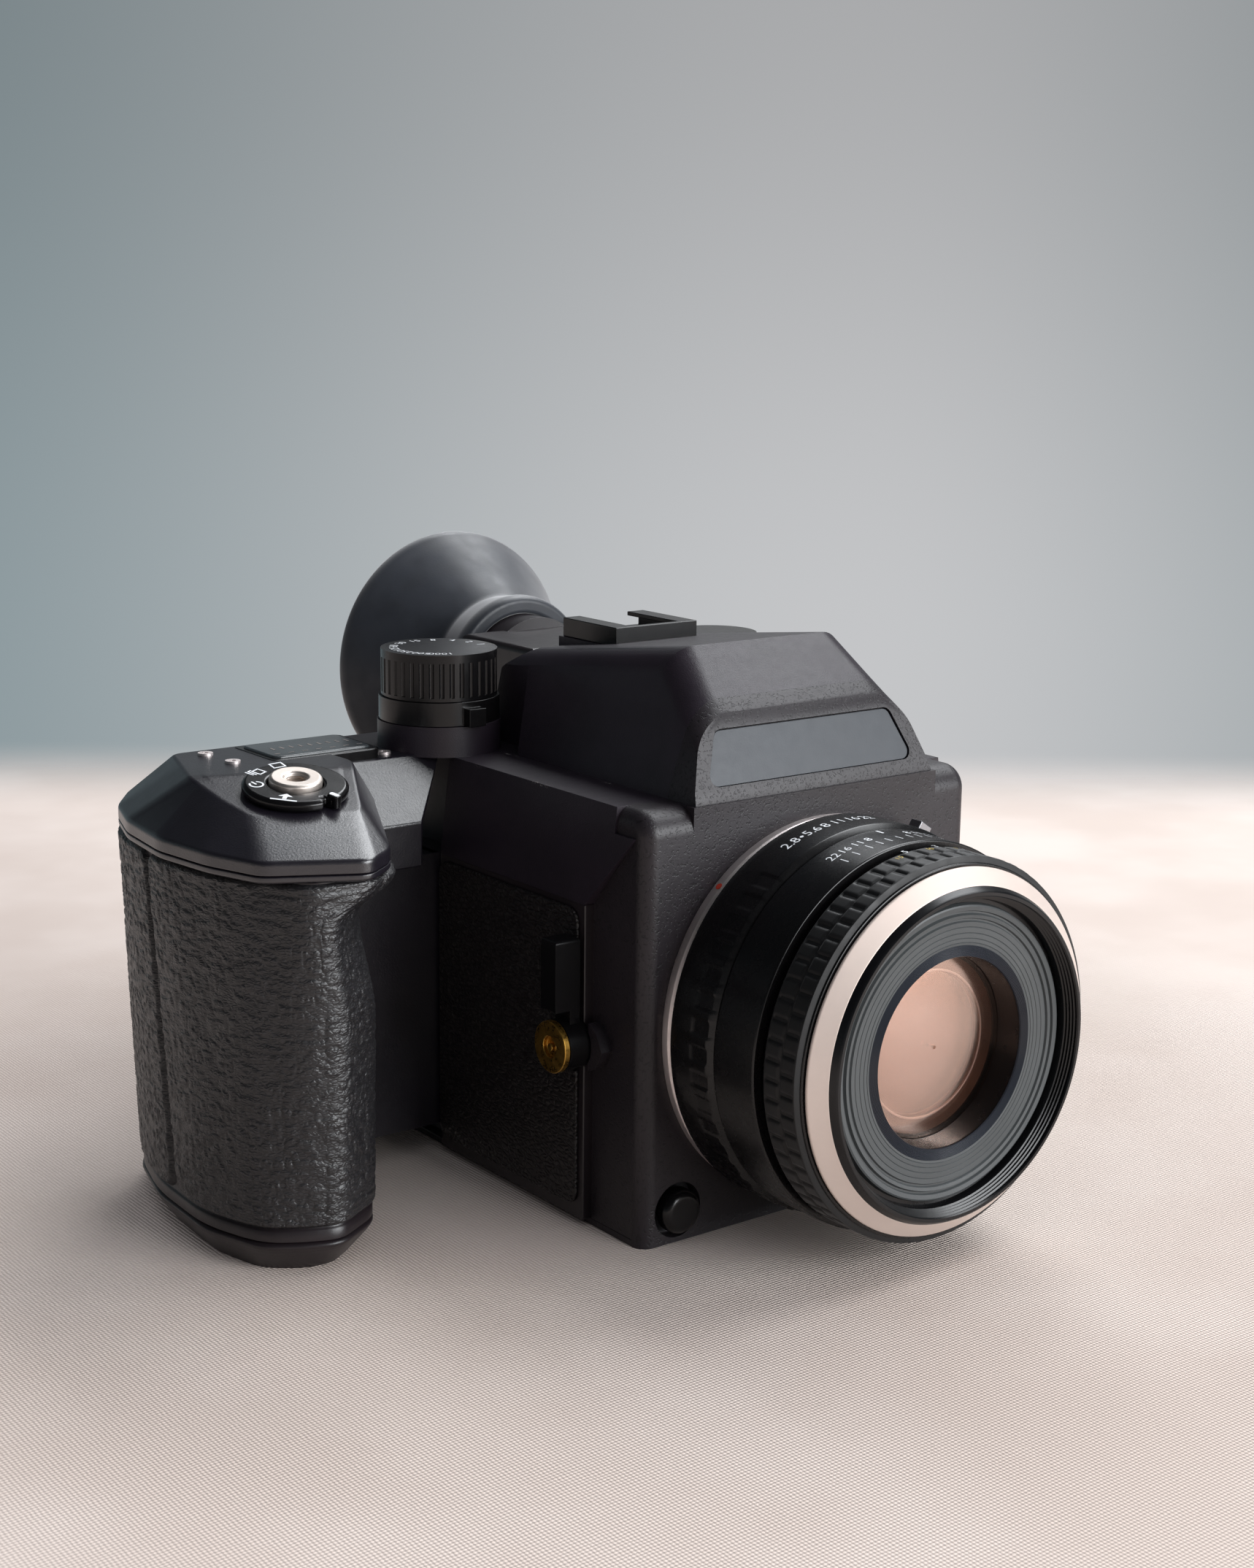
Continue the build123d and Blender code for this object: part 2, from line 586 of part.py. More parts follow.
def tripod_bushes():
    """The two threaded steel bushes, in the base and in the socket side."""
    base = tube_z(BUSH_RADIUS, TRIPOD_HOLE, 0, BUSH_DEPTH, 0, TRIPOD_Y)
    base += rod_z(BUSH_RADIUS, BUSH_DEPTH - 1.5, BUSH_DEPTH, 0, TRIPOD_Y)
    side = rod_x(BUSH_RADIUS, CAST_HALF - 6, COVER_RIGHT + 0.4, TRIPOD_Y, SIDE_BUSH_Z)
    side -= rod_x(TRIPOD_HOLE, CAST_HALF - 4.5, 50, TRIPOD_Y, SIDE_BUSH_Z)
    return Compound([base, side])


def side_skirt(sign, rear):
    """The top cover's slanted side, above the leather panel."""
    outer = -SKIRT_LEFT if sign < 0 else SKIRT_RIGHT
    inner = CAST_HALF + 0.1
    top = -CASING_LEFT if sign < 0 else CASING_RIGHT
    section = [(sign * inner, MITRE_Z), (sign * outer, MITRE_Z), (sign * top, SHOULDER_Z),
               (sign * inner, SHOULDER_Z)]
    solid = slab_y(section, CASING_WALL, rear)
    keep = [(CASING_WALL, LIP_Z), (CASING_DEPTH, MITRE_Z), (rear, MITRE_Z), (rear, SHOULDER_Z),
            (LIP_DEPTH, SHOULDER_Z), (LIP_DEPTH, LIP_Z)]
    return solid & slab_x(keep, -60, 60)


def top_cover():
    """The top cover: shoulders, prism hump, shoe pad and the two dial pedestals."""
    solid = block(CASING_LEFT, CASING_RIGHT, LIP_DEPTH, BODY_REAR, CAST_TOP, SHOULDER_Z)
    solid += side_skirt(-1, WEB_FRONT_Y - SEAT)
    solid += side_skirt(1, BODY_REAR)
    solid += hump_outside() & block(-60, 60, LIP_DEPTH, BODY_REAR, CAST_TOP, CREST_Z + 1)
    solid += block(-SHOE_PAD_HALF, SHOE_PAD_HALF, SHOE_Y - 10, SHOE_Y + 10, 100, SHOE_PAD_Z)
    pad_half = SHOE_SLOT / 2 + SHOE_WALL + SEAT
    pad_reach = SHOE_LENGTH / 2 + SEAT
    solid -= block(-pad_half, pad_half, SHOE_Y - pad_reach, SHOE_Y + pad_reach, SHOE_PAD_Z, CREST_Z + 3)
    for x, radius, top in ((SPEED_X, DIAL_RADIUS, SPEED_TOP), (EXPOSURE_X, EXPOSURE_RADIUS, EXPOSURE_TOP)):
        solid += rod_z(radius + PEDESTAL_RIM, SHOULDER_Z, PEDESTAL_TOP, x, DIAL_Y)
        solid += rod_z(SPINDLE_RADIUS, SHOULDER_Z, top - SPINDLE_SHORT, x, DIAL_Y)
    solid -= hump_solid(HUMP_WALL, CAST_TOP - 1)
    solid -= eye_window()
    return solid


def eye_window():
    """The light's way from the hump into the eyepiece block."""
    return block(-EYE_WINDOW_HALF, EYE_WINDOW_HALF, HUMP_REAR - 8, EYE_BORE_FRONT + 1, EYE_WINDOW_LOW,
                 EYE_WINDOW_HIGH)


def name_plate():
    """The blank plate in the front of the hump."""
    return plate_prism(PLATE_ROOM, PLATE_DEPTH - PLATE_THICK, PLATE_DEPTH)


def accessory_shoe():
    """The shoe: a base, two side walls with lips, and a front stop."""
    half = SHOE_SLOT / 2
    outer = half + SHOE_WALL
    low = SHOE_PAD_Z
    floor = low + SHOE_BASE
    lip = floor + SHOE_SLOT_HEIGHT
    top = lip + SHOE_LIP
    y0 = SHOE_Y - SHOE_LENGTH / 2
    y1 = SHOE_Y + SHOE_LENGTH / 2
    solid = block(-outer, outer, y0, y1, low, top)
    solid -= block(-half, half, y0 + 1.2, y1 + 1, floor, lip)
    solid -= block(-SHOE_LIP_GAP / 2, SHOE_LIP_GAP / 2, y0 + 1.2, y1 + 1, floor, top + 1)
    return solid


def pentaprism():
    """The roof prism of the finder, standing on the focusing screen."""
    foot = SCREEN_SEAT_Z + SCREEN_THICK
    side = [(SCREEN_FRONT + 0.2, foot), (SCREEN_REAR - 0.2, foot), (SCREEN_REAR - 0.2, 83.6), (66.0, 86.0),
            (66.0, 99.0), (48.0, 104.0), (22.0, 106.5), (13.2, 98.0)]
    front = [(-SCREEN_HALF + 0.3, 70.0), (SCREEN_HALF - 0.3, 70.0), (SCREEN_HALF - 0.3, 82.0),
             (21.6, 84.0), (20.5, 100.0), (16.0, 107.0), (-16.0, 107.0), (-20.5, 100.0), (-21.6, 84.0),
             (-SCREEN_HALF + 0.3, 82.0)]
    return slab_x(side, -SCREEN_HALF, SCREEN_HALF) & slab_y(front, 0, SCREEN_REAR + 20)


def focusing_screen():
    """The ground focusing screen on its ledge under the prism."""
    return block(-SCREEN_HALF + 0.1, SCREEN_HALF - 0.1, SCREEN_FRONT + 0.1, SCREEN_REAR - 0.1, SCREEN_SEAT_Z,
                 SCREEN_SEAT_Z + SCREEN_THICK)


def eyepiece_housing():
    """The block and tube behind the prism that carry the eyepiece lens and the eyecup."""
    solid = block(-EYE_BLOCK_HALF, EYE_BLOCK_HALF, EYE_BLOCK_FRONT, EYE_BLOCK_REAR, SHOULDER_Z, EYE_BLOCK_TOP)
    solid = fillet([e for e in edges_at(solid, "Z", EYE_BLOCK_TOP)], 1.5)
    solid -= hump_solid(0, CAST_TOP)
    solid += rod_y(EYE_TUBE_RADIUS, EYE_BLOCK_REAR - 3, EYE_TUBE_REAR, 0, EYE_Z)
    solid -= eye_window()
    solid -= rod_y(EYE_BORE, EYE_BORE_FRONT, EYE_TUBE_REAR + 1, 0, EYE_Z)
    solid -= rod_y(EYE_GLASS_RADIUS, EYE_GLASS_FRONT, EYE_TUBE_REAR + 1, 0, EYE_Z)
    y, z = WHEEL_PLACE
    return solid - rod_x(WHEEL_PIN + SLIDE_FIT, EYE_BLOCK_HALF - 4, EYE_BLOCK_HALF + 1, y, z)


def eyepiece_lens():
    """The glass at the rear of the finder."""
    return rod_y(EYE_GLASS_RADIUS, EYE_GLASS_FRONT, EYE_GLASS_FRONT + EYE_GLASS_THICK, 0, EYE_Z)


def eyecup():
    """The round rubber cup: a sleeve on the tube that flares to a wide rim."""
    r0 = EYE_TUBE_RADIUS
    y0 = CUP_FRONT
    y1 = EYE_TUBE_REAR
    profile = [(r0, y0), (r0 + CUP_WALL, y0), (r0 + CUP_WALL, y1 - 1.5), (CUP_RADIUS - 2.5, CUP_REAR - 5.0),
               (CUP_RADIUS, CUP_REAR - 2.0), (CUP_RADIUS, CUP_REAR), (CUP_RADIUS - 1.4, CUP_REAR),
               (CUP_RADIUS - 2.2, CUP_REAR - 2.6), (CUP_RADIUS - 4.8, CUP_REAR - 4.4), (r0, y1 + 0.6)]
    return Pos(0, 0, EYE_Z - LENS_Z) * turned_y(profile)


def dioptre_wheel():
    """The small wheel on the side of the eyepiece block."""
    x0 = EYE_BLOCK_HALF + SEAT
    y, z = WHEEL_PLACE
    return rod_x(WHEEL_RADIUS, x0, x0 + 2.4, y, z) + rod_x(WHEEL_PIN, x0 - 3.6, x0 + 1, y, z)


def grip_core(inset):
    """The grip between its trim and its band, or a smaller one when an inset is given."""
    return lofted(shrunk(GRIP_LOW, inset), shrunk(GRIP_HIGH, inset), GRIP_TRIM_Z, BAND_LOW_Z)


def grip_shell():
    """The grip's structure, with the web that joins it to the casting, hollow for the battery tray."""
    solid = slab_z(GRIP_LOW, GRIP_FOOT_Z, GRIP_TRIM_Z)
    solid += grip_core(LEATHER_THICK)
    solid += block(SHELL_WALL_X, COVER_LEFT - SEAT, WEB_WALL_Y, BODY_REAR, GRIP_FOOT_Z, WEB_LOW_Z - SEAT)
    solid += block(COVER_LEFT - 1.9, -CAST_HALF, WEB_WALL_Y, BODY_REAR, BASE_THICK, WEB_LOW_Z - SEAT)
    for x, y in CELL_PLACES:
        solid -= rod_z(CELL_RADIUS + TRAY_WALL + AIR, GRIP_FOOT_Z - 1, CELL_Z + CELL_HEIGHT + 2, x, y)
    return solid


def grip_leather():
    """The wrapped leather-grain skin of the grip, with the finger ledge at its top."""
    solid = grip_core(0)
    solid += lofted(LEDGE_LOW, LEDGE_HIGH, LEDGE_FOOT_Z, LEDGE_LOW_Z)
    solid += slab_z(LEDGE_HIGH, LEDGE_LOW_Z, BAND_LOW_Z)
    solid -= grip_core(LEATHER_THICK)
    solid -= block(-120, -40, LEATHER_REAR_Y, 120, 0, 90)
    solid -= block(-68, -40, WEB_WALL_Y - 4, 120, 0, 90)
    groove = block(-120, -100, GROOVE_Y[0], GROOVE_Y[1], GROOVE_Z[0], GROOVE_Z[1])
    solid -= groove - grip_core(GROOVE_DEPTH)
    return max(solid.solids(), key=lambda s: s.volume)


def deck_height(x, y):
    """The deck's height: a slanted plane through the drive dial's foot, level behind the crease."""
    slanted = DECK_Z + DECK_RISE * (y - DRIVE_Y) + DECK_LEAN * (x - DRIVE_X)
    return min(slanted, DECK_FLAT_Z)


def crease_y(x):
    """Where the slanted part of the deck meets the level part."""
    return DRIVE_Y + (DECK_FLAT_Z - DECK_Z - DECK_LEAN * (x - DRIVE_X)) / DECK_RISE


def on_deck(shape):
    """Turns a shape that stands upright at the drive dial's foot square to the slanted deck."""
    upward = (-DECK_LEAN, -DECK_RISE, 1)
    slant = Plane(origin=(DRIVE_X, DRIVE_Y, DECK_Z), x_dir=(1, 0, DECK_LEAN), z_dir=upward)
    return slant.location * Pos(-DRIVE_X, -DRIVE_Y, -DECK_Z) * shape


def cap_body():
    """The cap's slopes from the band up to the two-part deck, as one closed body of flat faces."""
    deck = []
    for x, y in DECK_OUTLINE:
        y = crease_y(x) if y is None else y
        deck.append(Vector(x, y, deck_height(x, y)))
    band = [Vector(x, y, BAND_HIGH_Z) for x, y in BAND_OUTLINE]
    count = len(deck)
    first, last = [i for i, (x, y) in enumerate(DECK_OUTLINE) if y is None]
    rings = [band, deck[:first + 1] + [deck[last]], deck[first:last + 1]]
    for i in range(count):
        k = (i + 1) % count
        rings.append([band[i], band[k], deck[i]])
        rings.append([band[k], deck[k], deck[i]])
    return Solid(Shell([Face(Wire.make_polygon(ring, close=True)) for ring in rings]))


def web():
    """The sloped web that joins the cap to the body, set back behind its front slope."""
    side = [(WEB_FRONT_Y, WEB_LOW_Z), (WEB_FRONT_Y, WEB_SLOPE_Z), (WEB_TOP_Y, DECK_Z), (BODY_REAR, DECK_Z),
            (BODY_REAR, WEB_LOW_Z)]
    front = [(WEB_LEFT_X, WEB_LOW_Z), (WEB_LEFT_X, DECK_Z), (WEB_RIGHT_X, DECK_Z),
             (WEB_CORNER_X, WEB_SLOPE_Z), (WEB_CORNER_X, WEB_LOW_Z)]
    solid = slab_x(side, WEB_LEFT_X, WEB_RIGHT_X) & slab_y(front, 0, BODY_REAR)
    solid += block(WEB_LEFT_X, WEB_RIGHT_X, WEB_BACK_Y, BODY_REAR, WEB_LOW_Z, DECK_Z)
    solid += block(WEB_RIGHT_X - 1, -CAST_HALF - SEAT, WEB_BACK_Y, BODY_REAR, WEB_LOW_Z, CAST_TOP - SEAT)
    return solid - slab_z(shrunk(GRIP_HIGH, LEATHER_THICK - SEAT), 0, BAND_LOW_Z)


def grip_cap():
    """The grip's top: the band, the slopes, the slanted deck, the display's frame and the web to the body."""
    solid = slab_z(BAND_OUTLINE, BAND_LOW_Z, BAND_HIGH_Z)
    solid += cap_body()
    solid += web()
    x0, x1, y0, y1 = DISPLAY_BOX
    edge = DISPLAY_FRAME
    solid += block(x0 - edge, x1 + edge, y0 - edge, y1 + edge, DECK_Z - 3, DECK_FLAT_Z)
    solid -= block(x0, x1, y0, y1, DECK_FLAT_Z - DISPLAY_SUNK, DECK_FLAT_Z + 1)
    solid -= rod_z(DIAL_RADIUS + PEDESTAL_RIM + AIR, SHOULDER_Z - AIR, DECK_Z + 1, SPEED_X, DIAL_Y)
    solid -= on_deck(rod_z(SPINDLE_RADIUS + 2.2, DECK_Z - 4.6, DECK_Z + 1, DRIVE_X, DRIVE_Y))
    for x, y, z in DECK_SCREWS:
        solid -= rod_z(DECK_SCREW_RADIUS, z - DECK_SCREW_LENGTH, z + 1, x, y)
    return solid


def deck_screws():
    """The small bright screws in the deck."""
    heads = []
    for x, y, z in DECK_SCREWS:
        head = rod_z(DECK_SCREW_RADIUS, z - DECK_SCREW_LENGTH, z + 0.5, x, y)
        heads.append(head - rod_z(0.6, z - 0.6, z + 1, x, y))
    return Compound(heads)


def display_window():
    """The clear window over the deck's display."""
    x0, x1, y0, y1 = DISPLAY_BOX
    return block(x0, x1, y0, y1, DECK_FLAT_Z - DISPLAY_SUNK, DECK_FLAT_Z + DISPLAY_RISE)


def drive_dial():
    """The drive dial, a flat ring round the release button with a raised index tab."""
    solid = rod_z(DRIVE_RADIUS, DECK_Z + SEAT, DRIVE_TOP, DRIVE_X, DRIVE_Y)
    top_edges = [e for e in edges_at(solid, "Z", DRIVE_TOP)]
    solid = chamfer(top_edges, 0.5)
    tab = block(DRIVE_RADIUS - 2.8, DRIVE_RADIUS - 0.7, -0.8, 0.8, DRIVE_TOP - 1, DRIVE_TOP + 0.5)
    solid += Pos(DRIVE_X, DRIVE_Y, 0) * Rot(0, 0, TAB_ANGLE) * tab
    solid += rod_z(SPINDLE_RADIUS + 2.15, DECK_Z - 4.0, DECK_Z + SEAT + 0.1, DRIVE_X, DRIVE_Y)
    cup_floor = DRIVE_TOP - RELEASE_SUNK - RELEASE_TRAVEL - SEAT
    solid -= rod_z(RELEASE_RADIUS + SLIDE_FIT, cup_floor, DRIVE_TOP + 1, DRIVE_X, DRIVE_Y)
    solid -= rod_z(SPINDLE_RADIUS + SLIDE_FIT, DECK_Z - 5, DRIVE_TOP + 1, DRIVE_X, DRIVE_Y)
    return on_deck(solid)


def release_button():
    """The shutter release with its threaded cable hole."""
    solid = rod_z(RELEASE_RADIUS, DRIVE_TOP - RELEASE_SUNK, RELEASE_TOP, DRIVE_X, DRIVE_Y)
    solid = chamfer([e for e in edges_at(solid, "Z", RELEASE_TOP)], 0.3)
    solid += rod_z(SPINDLE_RADIUS, DECK_Z - 2.6, DRIVE_TOP, DRIVE_X, DRIVE_Y)
    solid -= rod_z(CABLE_HOLE, DECK_Z + 0.4, RELEASE_TOP + 1, DRIVE_X, DRIVE_Y)
    return on_deck(solid)


def battery_tray():
    """The bottom cap of the grip with the cups that hold the six cells."""
    solid = lofted(GRIP_FLOOR, GRIP_LOW, 0, FOOT_ROUND_Z)
    solid += slab_z(GRIP_LOW, FOOT_ROUND_Z, GRIP_FOOT_Z)
    for x, y in CELL_PLACES:
        solid += rod_z(CELL_RADIUS + TRAY_WALL, GRIP_FOOT_Z - 0.5, TRAY_CUP_Z, x, y)
    for x, y in CELL_PLACES:
        solid -= rod_z(CELL_RADIUS + 0.05, CELL_Z, TRAY_CUP_Z + 1, x, y)
    solid -= rod_z(LATCH_RADIUS + SLIDE_FIT, -1, LATCH_DEPTH, LATCH_PLACE[0], LATCH_PLACE[1])
    return solid


def battery_cells():
    """Six AA cells."""
    cells = []
    for x, y in CELL_PLACES:
        cell = rod_z(CELL_RADIUS, CELL_Z, CELL_Z + CELL_HEIGHT - CELL_NUB, x, y)
        cells.append(cell + rod_z(CELL_NUB_RADIUS, CELL_Z, CELL_Z + CELL_HEIGHT, x, y))
    return Compound(cells)


def battery_latch():
    """The coin-turned latch in the bottom cap."""
    x, y = LATCH_PLACE
    solid = rod_z(LATCH_RADIUS, 0.2, LATCH_DEPTH - SEAT, x, y)
    return solid - block(x - 5, x + 5, y - 0.8, y + 0.8, -1, 1.6)


def ribbed(radius, z0, z1, x, y, count):
    """A round dial with shallow grip flutes round its side."""
    solid = rod_z(radius, z0, z1, x, y)
    flute = Cylinder(0.55, z1 - z0 - 2.4)
    for i in range(count):
        angle = 2 * math.pi * i / count
        reach = radius + 0.15
        place = (x + reach * math.cos(angle), y + reach * math.sin(angle), (z0 + z1 - 1) / 2)
        solid -= Pos(*place) * flute
    return solid


def shutter_speed_dial():
    """The shutter-speed dial, grip side."""
    solid = ribbed(DIAL_RADIUS, COLLAR_TOP + SEAT, SPEED_TOP, SPEED_X, DIAL_Y, 36)
    return solid - rod_z(SPINDLE_RADIUS + SLIDE_FIT, 80, SPEED_TOP - SPINDLE_SHORT + SEAT, SPEED_X, DIAL_Y)


def metering_lever():
    """The metering collar under the shutter-speed dial, with its finger tab."""
    solid = rod_z(DIAL_RADIUS + COLLAR_RIM, PEDESTAL_TOP + SEAT, COLLAR_TOP, SPEED_X, DIAL_Y)
    solid += block(SPEED_X - 2, SPEED_X + 2, DIAL_Y - DIAL_RADIUS - 2.6, DIAL_Y - 8, PEDESTAL_TOP + SEAT,
                   COLLAR_TOP - 1.2)
    return solid - rod_z(SPINDLE_RADIUS + SLIDE_FIT, 80, 120, SPEED_X, DIAL_Y)


def exposure_dial():
    """The exposure correction dial, on the side away from the grip."""
    solid = ribbed(EXPOSURE_RADIUS, PEDESTAL_TOP + SEAT, EXPOSURE_TOP, EXPOSURE_X, DIAL_Y, 28)
    bore_top = EXPOSURE_TOP - SPINDLE_SHORT + SEAT
    return solid - rod_z(SPINDLE_RADIUS + SLIDE_FIT, 80, bore_top, EXPOSURE_X, DIAL_Y)


def sector_y(outer, inner, y0, y1, middle_deg, span_deg):
    """A piece of a tube along Y, round a middle angle counted from +X towards +Z."""
    start = middle_deg - span_deg / 2
    step = span_deg / 6
    ring = [(outer * 2 * math.cos(math.radians(start + step * i)),
             LENS_Z + outer * 2 * math.sin(math.radians(start + step * i))) for i in range(7)]
    wedge = slab_y([(0, LENS_Z)] + ring, y0, y1)
    return tube_y(outer, inner, y0, y1) & wedge


def mount_ring():
    """The bayonet ring on the body, with three claws in its throat."""
    solid = tube_y(MOUNT_RADIUS, THROAT_RADIUS, MOUNT_FACE_Y, 0)
    solid += tube_y(SPIGOT_RADIUS, THROAT_RADIUS, -0.1, CASING_WALL)
    for i in range(3):
        solid += sector_y(THROAT_RADIUS + 0.5, CLAW_RADIUS, MOUNT_FACE_Y, MOUNT_FACE_Y + 1.8, 90 + 120 * i,
                          CLAW_ANGLE)
    return solid


def lens_release_button():
    """The domed lens release in its pit, on a stem that slides in the casting."""
    x, z = RELEASE_PIT
    head = rod_y(LENS_BUTTON_RADIUS, LENS_BUTTON_FACE, LENS_BUTTON_BACK, x, z)
    head = fillet([e for e in edges_at(head, "Y", LENS_BUTTON_FACE)], 1.5)
    return head + rod_y(LENS_BUTTON_STEM, LENS_BUTTON_BACK - 0.1, LENS_BUTTON_REAR, x, z)


def focus_mode_switch():
    """The focus mode switch on the side band away from the grip."""
    x0 = CASING_RIGHT + SEAT
    solid = rod_x(SWITCH_RADIUS, x0, x0 + 2.4, SWITCH_Y, SWITCH_Z)
    return solid + block(x0, x0 + 4.2, SWITCH_Y - 1.2, SWITCH_Y + 1.2, SWITCH_Z - 5.4, SWITCH_Z + 5.4)


def preview_lever():
    """The preview lever: a hub and an arm that stands up from it and faces the front."""
    solid = rod_x(PREVIEW_HUB_RADIUS, PREVIEW_HUB_OUT, COVER_LEFT - SEAT, PREVIEW_Y, PREVIEW_Z)
    x0, x1 = PREVIEW_ARM_X
    y0, y1 = PREVIEW_ARM_Y
    arm = block(x0, x1, y0, y1, PREVIEW_Z, PREVIEW_ARM_TOP)
    arm = fillet([e for e in edges_at(arm, "Z", PREVIEW_ARM_TOP)], 0.8)
    notch_x, notch_radius = PREVIEW_NOTCH
    arm -= rod_x(notch_radius, x0 - 1, notch_x, PREVIEW_Y, PREVIEW_Z)
    solid += arm
    return solid - rod_x(PREVIEW_PIN + SLIDE_FIT, -60, -40, PREVIEW_Y, PREVIEW_Z)


def preview_screw():
    """The brass screw that is the preview lever's pivot."""
    solid = rod_x(PREVIEW_HUB_RADIUS, SCREW_OUT, PREVIEW_HUB_OUT - SEAT, PREVIEW_Y, PREVIEW_Z)
    solid += rod_x(PREVIEW_PIN, SCREW_OUT + 0.2, -CAST_HALF + 4, PREVIEW_Y, PREVIEW_Z)
    ring = rod_x(2.1, SCREW_OUT - 1, SCREW_OUT + 0.9, PREVIEW_Y, PREVIEW_Z)
    return solid - (ring - rod_x(0.8, SCREW_OUT - 1, SCREW_OUT + 1, PREVIEW_Y, PREVIEW_Z))


def along_mirror(shape):
    """Lay a shape that was made flat forwards from the hinge at the mirror's rest angle."""
    return Pos(0, MIRROR_HINGE_Y, MIRROR_HINGE_Z) * Rot(45, 0, 0) * shape


def mirror_frame():
    """The metal frame behind the mirror, with its hinge barrel."""
    frame = block(-MIRROR_HALF, MIRROR_HALF, -MIRROR_LENGTH, 0, -MIRROR_BACK - 0.2, -0.2)
    solid = along_mirror(frame)
    solid += rod_x(HINGE_PIN, -MIRROR_ROOM_HALF + 0.05, MIRROR_ROOM_HALF - 0.05, MIRROR_HINGE_Y,
                   MIRROR_HINGE_Z)
    return solid


def reflex_mirror():
    """The reflex mirror's glass on the front of its frame."""
    glass = block(-MIRROR_HALF + 0.4, MIRROR_HALF - 0.4, -MIRROR_LENGTH + 0.3, -2.0, -0.2, MIRROR_GLASS - 0.2)
    return along_mirror(glass)


def shutter_frame():
    """The frame round the film gate that guides the leaves."""
    y0 = MIRROR_ROOM_REAR + 0.1
    solid = block(-SHUTTER_HALF, SHUTTER_HALF, y0, SHUTTER_REAR, SHUTTER_LOW, SHUTTER_HIGH)
    solid -= block(-FRAME_WIDTH / 2 - 1, FRAME_WIDTH / 2 + 1, y0 - 1, SHUTTER_REAR + 1,
                   LENS_Z - FRAME_HEIGHT / 2 - 0.6, LENS_Z + FRAME_HEIGHT / 2 + 1)
    solid -= block(-LEAF_HALF - 0.2, LEAF_HALF + 0.2, y0 + 0.7, SHUTTER_REAR - 0.5, SHUTTER_LOW + 0.6,
                   SHUTTER_HIGH - 3)
    return solid


def shutter_leaf(index):
    """One leaf of the closed shutter, counted from the bottom."""
    low = LENS_Z - FRAME_HEIGHT / 2 - 0.9 + index * (LEAF_HEIGHT - 1.2)
    y0 = LEAF_FRONT + index * LEAF_PITCH
    return block(-LEAF_HALF, LEAF_HALF, y0, y0 + LEAF_THICK, low, low + LEAF_HEIGHT)


def film_insert_frame():
    """The frame of the roll-film insert, with two spool rooms and four spool studs."""
    solid = block(-INSERT_HALF, INSERT_HALF, INSERT_FRONT, INSERT_REAR, INSERT_LOW, INSERT_HIGH)
    room = SPOOL_HALF + SPOOL_AIR
    solid -= block(-room, room, INSERT_FRONT - 1, INSERT_REAR + 1, INSERT_LOW + 1.2, INSERT_HIGH - 1.2)
    solid += block(-SPOOL_HALF - 1, SPOOL_HALF + 1, PRESSURE_REAR, PRESSURE_REAR + 3.8, PRESSURE_BRIDGE[0],
                   PRESSURE_BRIDGE[1])
    for z in (SPOOL_LOW_Z, SPOOL_HIGH_Z):
        for sign in (-1, 1):
            inner = sign * (SPOOL_HALF - 3)
            outer = sign * (SPOOL_HALF + 1)
            solid += rod_x(SPOOL_BORE, min(inner, outer), max(inner, outer), SPOOL_Y, z)
    return solid


def film_back_cover():
    """The back cover of the insert, which closes the rear of the body."""
    solid = block(-BACK_HALF, BACK_HALF, BODY_REAR, BODY_REAR + BACK_THICK, BACK_LOW, BACK_HIGH)
    solid = fillet([e for e in edges_at(solid, "Y", BODY_REAR + BACK_THICK)], 1.5)
    x, z = KEY_PLACE
    solid -= rod_y(SPINDLE_RADIUS + SLIDE_FIT, BODY_REAR + 1, BODY_REAR + BACK_THICK + 1, x, z)
    return solid


def pressure_plate():
    """The plate that holds the film flat against the rails."""
    return block(-PRESSURE_HALF, PRESSURE_HALF, PRESSURE_REAR - 1.6, PRESSURE_REAR, LENS_Z - 22, LENS_Z + 22)


def spool(z):
    """A 120 film spool with two flanges."""
    solid = rod_x(SPOOL_CORE, -SPOOL_HALF, SPOOL_HALF, SPOOL_Y, z)
    for sign in (-1, 1):
        inner = sign * (SPOOL_HALF - 0.8)
        outer = sign * SPOOL_HALF
        solid += rod_x(SPOOL_FLANGE, min(inner, outer), max(inner, outer), SPOOL_Y, z)
    return solid - rod_x(SPOOL_BORE + SLIDE_FIT, -SPOOL_HALF - 1, SPOOL_HALF + 1, SPOOL_Y, z)


def film_latch_key():
    """The key that locks the insert in the body."""
    x, z = KEY_PLACE
    y0 = BODY_REAR + BACK_THICK + SEAT
    solid = rod_y(KEY_RADIUS, y0, y0 + 1.6, x, z)
    solid += block(x - 1.2, x + 1.2, y0, y0 + 5.0, z - 6.0, z + 6.0)
    return solid + rod_y(SPINDLE_RADIUS, BODY_REAR + 1.2, y0 + 1, x, z)


def strap_lugs():
    """The two round strap lugs, on the socket side and on the grip's rear."""
    x0, x1, y, z = SIDE_LUG
    side = rod_x(LUG_STEM, x0, x1, y, z) + rod_x(LUG_HEAD, x1 - LUG_HEAD_THICK, x1, y, z)
    y0, y1, x, z = GRIP_LUG
    rear = rod_y(LUG_STEM, y0, y1, x, z) + rod_y(LUG_HEAD, y1 - LUG_HEAD_THICK, y1, x, z)
    return Compound([side, rear])


def side_sockets():
    """The flash and cable sockets on the socket side."""
    sockets = []
    for y, z in SOCKETS:
        socket = rod_x(SOCKET_RADIUS, CAST_HALF, SOCKET_OUT, y, z)
        hollow = rod_x(2.6, SOCKET_OUT - 2.2, SOCKET_OUT + 1, y, z)
        socket -= hollow - rod_x(1.0, CAST_HALF, SOCKET_OUT + 2, y, z)
        sockets.append(socket)
    return Compound(sockets)


